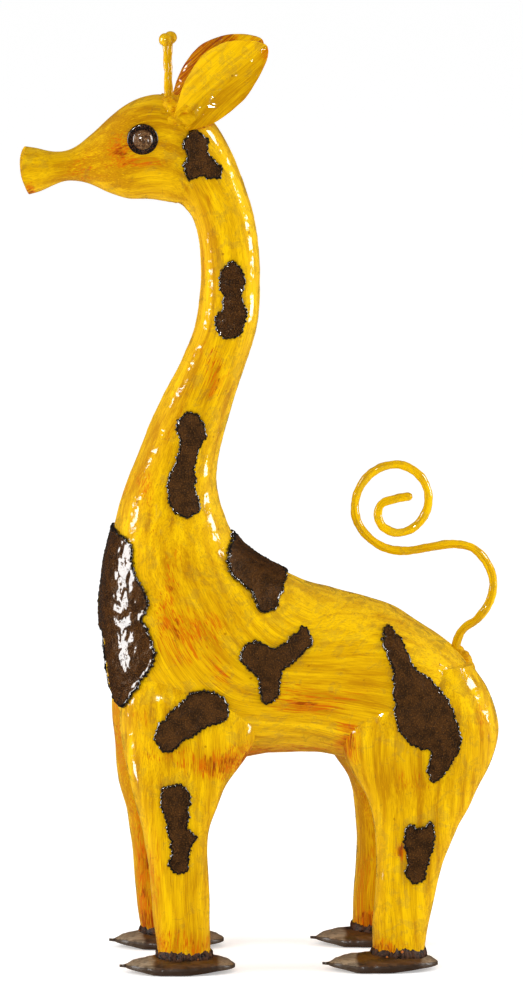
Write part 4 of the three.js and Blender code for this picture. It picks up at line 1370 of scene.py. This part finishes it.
def footPaint():
    material, tree, shader = newPaint("footBrown", 0.5, coat=0.12, coatRoughness=0.15)
    strokes = attribute(tree, "strokes", True)
    edge = attribute(tree, "edge")
    marks = placeGroup(tree, "brushStrokes", {
        "Strokes": strokes, "Length": 16.0, "Width": 5.0, "Seed": 11.0})
    colour = mixed(tree, between(tree, marks["Broad"], 0.36, 0.6), footLook["dark"],
                   footLook["middle"])
    colour = mixed(tree, between(tree, marks["Fine"], 0.5, 0.72, 0.0, 0.7), colour,
                   footLook["light"])
    # painted reflection: the pale sheen mixed over toe and heel
    sheen = maths(tree, "MULTIPLY", attribute(tree, "sheen"),
                  between(tree, marks["Fine"], 0.38, 0.58, 0.3, 0.75))
    colour = mixed(tree, sheen, colour, footLook["worn"])
    rim = placeGroup(tree, "burntRim", {"Edge": edge, "Place": strokes, "Width": 1.0})["Mask"]
    colour = mixed(tree, maths(tree, "MULTIPLY", rim, 0.85), colour, footLook["rim"])
    specks = placeGroup(tree, "specks", {"Place": strokes, "Size": 1.5, "Amount": 0.12})["Mask"]
    colour = mixed(tree, maths(tree, "MULTIPLY", specks, 0.6), colour, footLook["dark"])
    rough = between(tree, marks["Fine"], 0.35, 0.65, 0.3, 0.5)
    height = maths(tree, "ADD", marks["Ridges"], maths(tree, "MULTIPLY", specks, -0.4))
    finishPaint(tree, shader, colour, rough, height, 0.6, 0.6)
    return material


footWeldLook = {
    "dark": (0.012, 0.004, 0.0015), "light": (0.075, 0.024, 0.005), "fleck": (0.55, 0.14, 0.003),
}


def footWeldPaint():
    material, tree, shader = newPaint("footWeldBrown", 0.4)
    strokes = attribute(tree, "strokes", True)
    cloud = noiseValue(tree, strokes, 0.35, 5.0, 0.65)
    colour = mixed(tree, between(tree, cloud, 0.4, 0.62), footWeldLook["dark"],
                   footWeldLook["light"])
    flecks = placeGroup(tree, "specks", {"Place": strokes, "Size": 3.4, "Amount": 0.14})["Mask"]
    colour = mixed(tree, maths(tree, "MULTIPLY", flecks, 0.85), colour, footWeldLook["fleck"])
    rough = between(tree, cloud, 0.3, 0.7, 0.2, 0.6)
    finishPaint(tree, shader, colour, rough, cloud, 0.8, 1.2)
    return material


# the paler third colour of washer and rivet is painted highlight: specks of shine on the washer, a
# greyish sheen on the rivet dome
eyeLook = {
    "washer": {"dark": (0.003, 0.0012, 0.0008), "light": (0.016, 0.005, 0.0015),
               "worn": (0.12, 0.035, 0.005)},
    "rivet": {"dark": (0.05, 0.02, 0.006), "light": (0.17, 0.07, 0.018),
              "worn": (0.3, 0.18, 0.08)},
}


def eyePaint(part):
    look = eyeLook[part]
    material, tree, shader = newPaint(part + "Brown", 0.3, coat=0.6, coatRoughness=0.06)
    place = attribute(tree, "strokes", True)
    edge = attribute(tree, "edge")
    cloud = noiseValue(tree, place, 0.6, 5.0, 0.6)
    colour = mixed(tree, between(tree, cloud, 0.4, 0.62), look["dark"], look["light"])
    # painted highlight patches, scattered by noise
    worn = between(tree, noiseValue(tree, place, 1.1, 3.0), 0.54, 0.62, 0.0, 0.85)
    colour = mixed(tree, worn, colour, look["worn"])
    rim = placeGroup(tree, "burntRim", {"Edge": edge, "Place": place, "Width": 0.6})["Mask"]
    colour = mixed(tree, maths(tree, "MULTIPLY", rim, 0.9), colour, look["dark"])
    rough = between(tree, cloud, 0.3, 0.7, 0.25, 0.42)
    finishPaint(tree, shader, colour, rough, cloud, 0.5, 0.5)
    return material


print("materials")
paints = {
    "body": yellowPaint("body"), "leg": yellowPaint("leg"), "ear": yellowPaint("ear"),
    "weld": yellowPaint("weld"), "plate": platePaint(), "foot": footPaint(),
    "footWeld": footWeldPaint(), "washer": eyePaint("washer"), "rivet": eyePaint("rivet"),
}


def paintFor(name):
    if name.startswith("spot"):
        return paints["plate"]
    if name.startswith("eye"):
        return paints["rivet" if "Rivet" in name else "washer"]
    if "FootWeld" in name:
        return paints["footWeld"]
    if "Foot" in name:
        return paints["foot"]
    if "Leg" in name:
        return paints["leg"]
    if "Weld" in name:
        return paints["weld"]
    if name.startswith(("ear", "horn")):
        return paints["ear"]
    return paints["body"]


for name, piece in pieces.items():
    piece.data.materials.append(paintFor(name))
for nodeName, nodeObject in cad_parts.items():
    brown = nodeName.startswith(("spot", "eye", "foot"))
    for nodeSlot in nodeObject.material_slots:
        nodeSlot.material = paints["plate" if brown else "body"]

view = {
    "azimuth": math.radians(-4.0),
    "elevation": math.radians(8.8),
    "distance": 12.0,
    "target": (0.0012, 0.0, 0.3165),
    "frameHeight": 0.6815,
    "sensor": 24.0,
}


def placeCamera():
    azimuth, elevation = view["azimuth"], view["elevation"]
    back = Vector((
        math.sin(azimuth) * math.cos(elevation),
        -math.cos(azimuth) * math.cos(elevation),
        math.sin(elevation)))
    lens = bpy.data.cameras.new("camera")
    lens.sensor_fit = "VERTICAL"
    lens.sensor_height = view["sensor"]
    lens.lens = view["sensor"] * view["distance"] / view["frameHeight"]
    lens.clip_end = 50
    camera = bpy.data.objects.new("camera", lens)
    camera.location = Vector(view["target"]) + back * view["distance"]
    camera.rotation_mode = "QUATERNION"
    camera.rotation_quaternion = back.to_track_quat("Z", "Y")
    bpy.context.scene.collection.objects.link(camera)
    bpy.context.scene.camera = camera


# name: place, size in x and y, power, and whether it shows as a highlight
lamps = {
    "leftStrip": ((-1.4, -0.25, 0.6), (0.6, 1.2), 12.5, True),
    "rightStrip": ((1.4, -0.25, 0.65), (0.6, 1.2), 12.5, True),
    "frontSpark": ((-0.6, -1.9, 1.15), (0.22, 0.3), 7.0, True),
    "frontFill": ((-0.3, -2.2, 1.3), (1.8, 1.6), 1.0, False),
    "topFill": ((0.0, -0.2, 2.2), (1.8, 1.8), 4.0, False),
}


lampTarget = Vector((0, 0, 0.32))


def placeLamps():
    for name, (place, size, power, shows) in lamps.items():
        lamp = bpy.data.lights.new(name, "AREA")
        lamp.shape = "RECTANGLE"
        lamp.size, lamp.size_y = size
        lamp.energy = power
        holder = bpy.data.objects.new(name, lamp)
        holder.location = place
        holder.rotation_mode = "QUATERNION"
        away = Vector(place) - lampTarget
        holder.rotation_quaternion = away.to_track_quat("Z", "Y")
        holder.visible_glossy = shows
        bpy.context.scene.collection.objects.link(holder)


# white all round for the eye and for soft light, nearly dark in reflections
def placeWorld():
    world = bpy.data.worlds.new("studio")
    world.use_nodes = True
    bpy.context.scene.world = world
    tree = world.node_tree
    plain = tree.nodes["Background"]
    path = addNode(tree, "ShaderNodeLightPath")
    seen = addNode(tree, "ShaderNodeMix", {0: path.outputs["Is Camera Ray"], 2: 0.72, 3: 1.0})
    dim = addNode(tree, "ShaderNodeMix", {0: path.outputs["Is Glossy Ray"], 3: 0.03})
    tree.links.new(seen.outputs[0], dim.inputs[2])
    plain.inputs[0].default_value = (1, 1, 1, 1)
    tree.links.new(dim.outputs[0], plain.inputs[1])


def placeFloor():
    shaped = bmesh.new()
    bmesh.ops.create_circle(shaped, cap_ends=True, radius=12.0, segments=96)
    mesh = bpy.data.meshes.new("floor")
    shaped.to_mesh(mesh)
    shaped.free()
    floor = bpy.data.objects.new("floor", mesh)
    floor.location.z = -0.0004
    floor.visible_glossy = False
    material = bpy.data.materials.new("floorPaper")
    material.use_nodes = True
    shader = material.node_tree.nodes["Principled BSDF"]
    shader.inputs["Base Color"].default_value = (0.9, 0.9, 0.9, 1)
    shader.inputs["Emission Color"].default_value = (1, 1, 1, 1)
    shader.inputs["Emission Strength"].default_value = 0.36
    shader.inputs["Roughness"].default_value = 0.9
    shader.inputs["Specular IOR Level"].default_value = 0.1
    mesh.materials.append(material)
    bpy.context.scene.collection.objects.link(floor)


print("camera and light")
placeCamera()
placeLamps()
placeWorld()
placeFloor()
bpy.context.scene.view_settings.view_transform = "Standard"

bpy.context.view_layer.update()
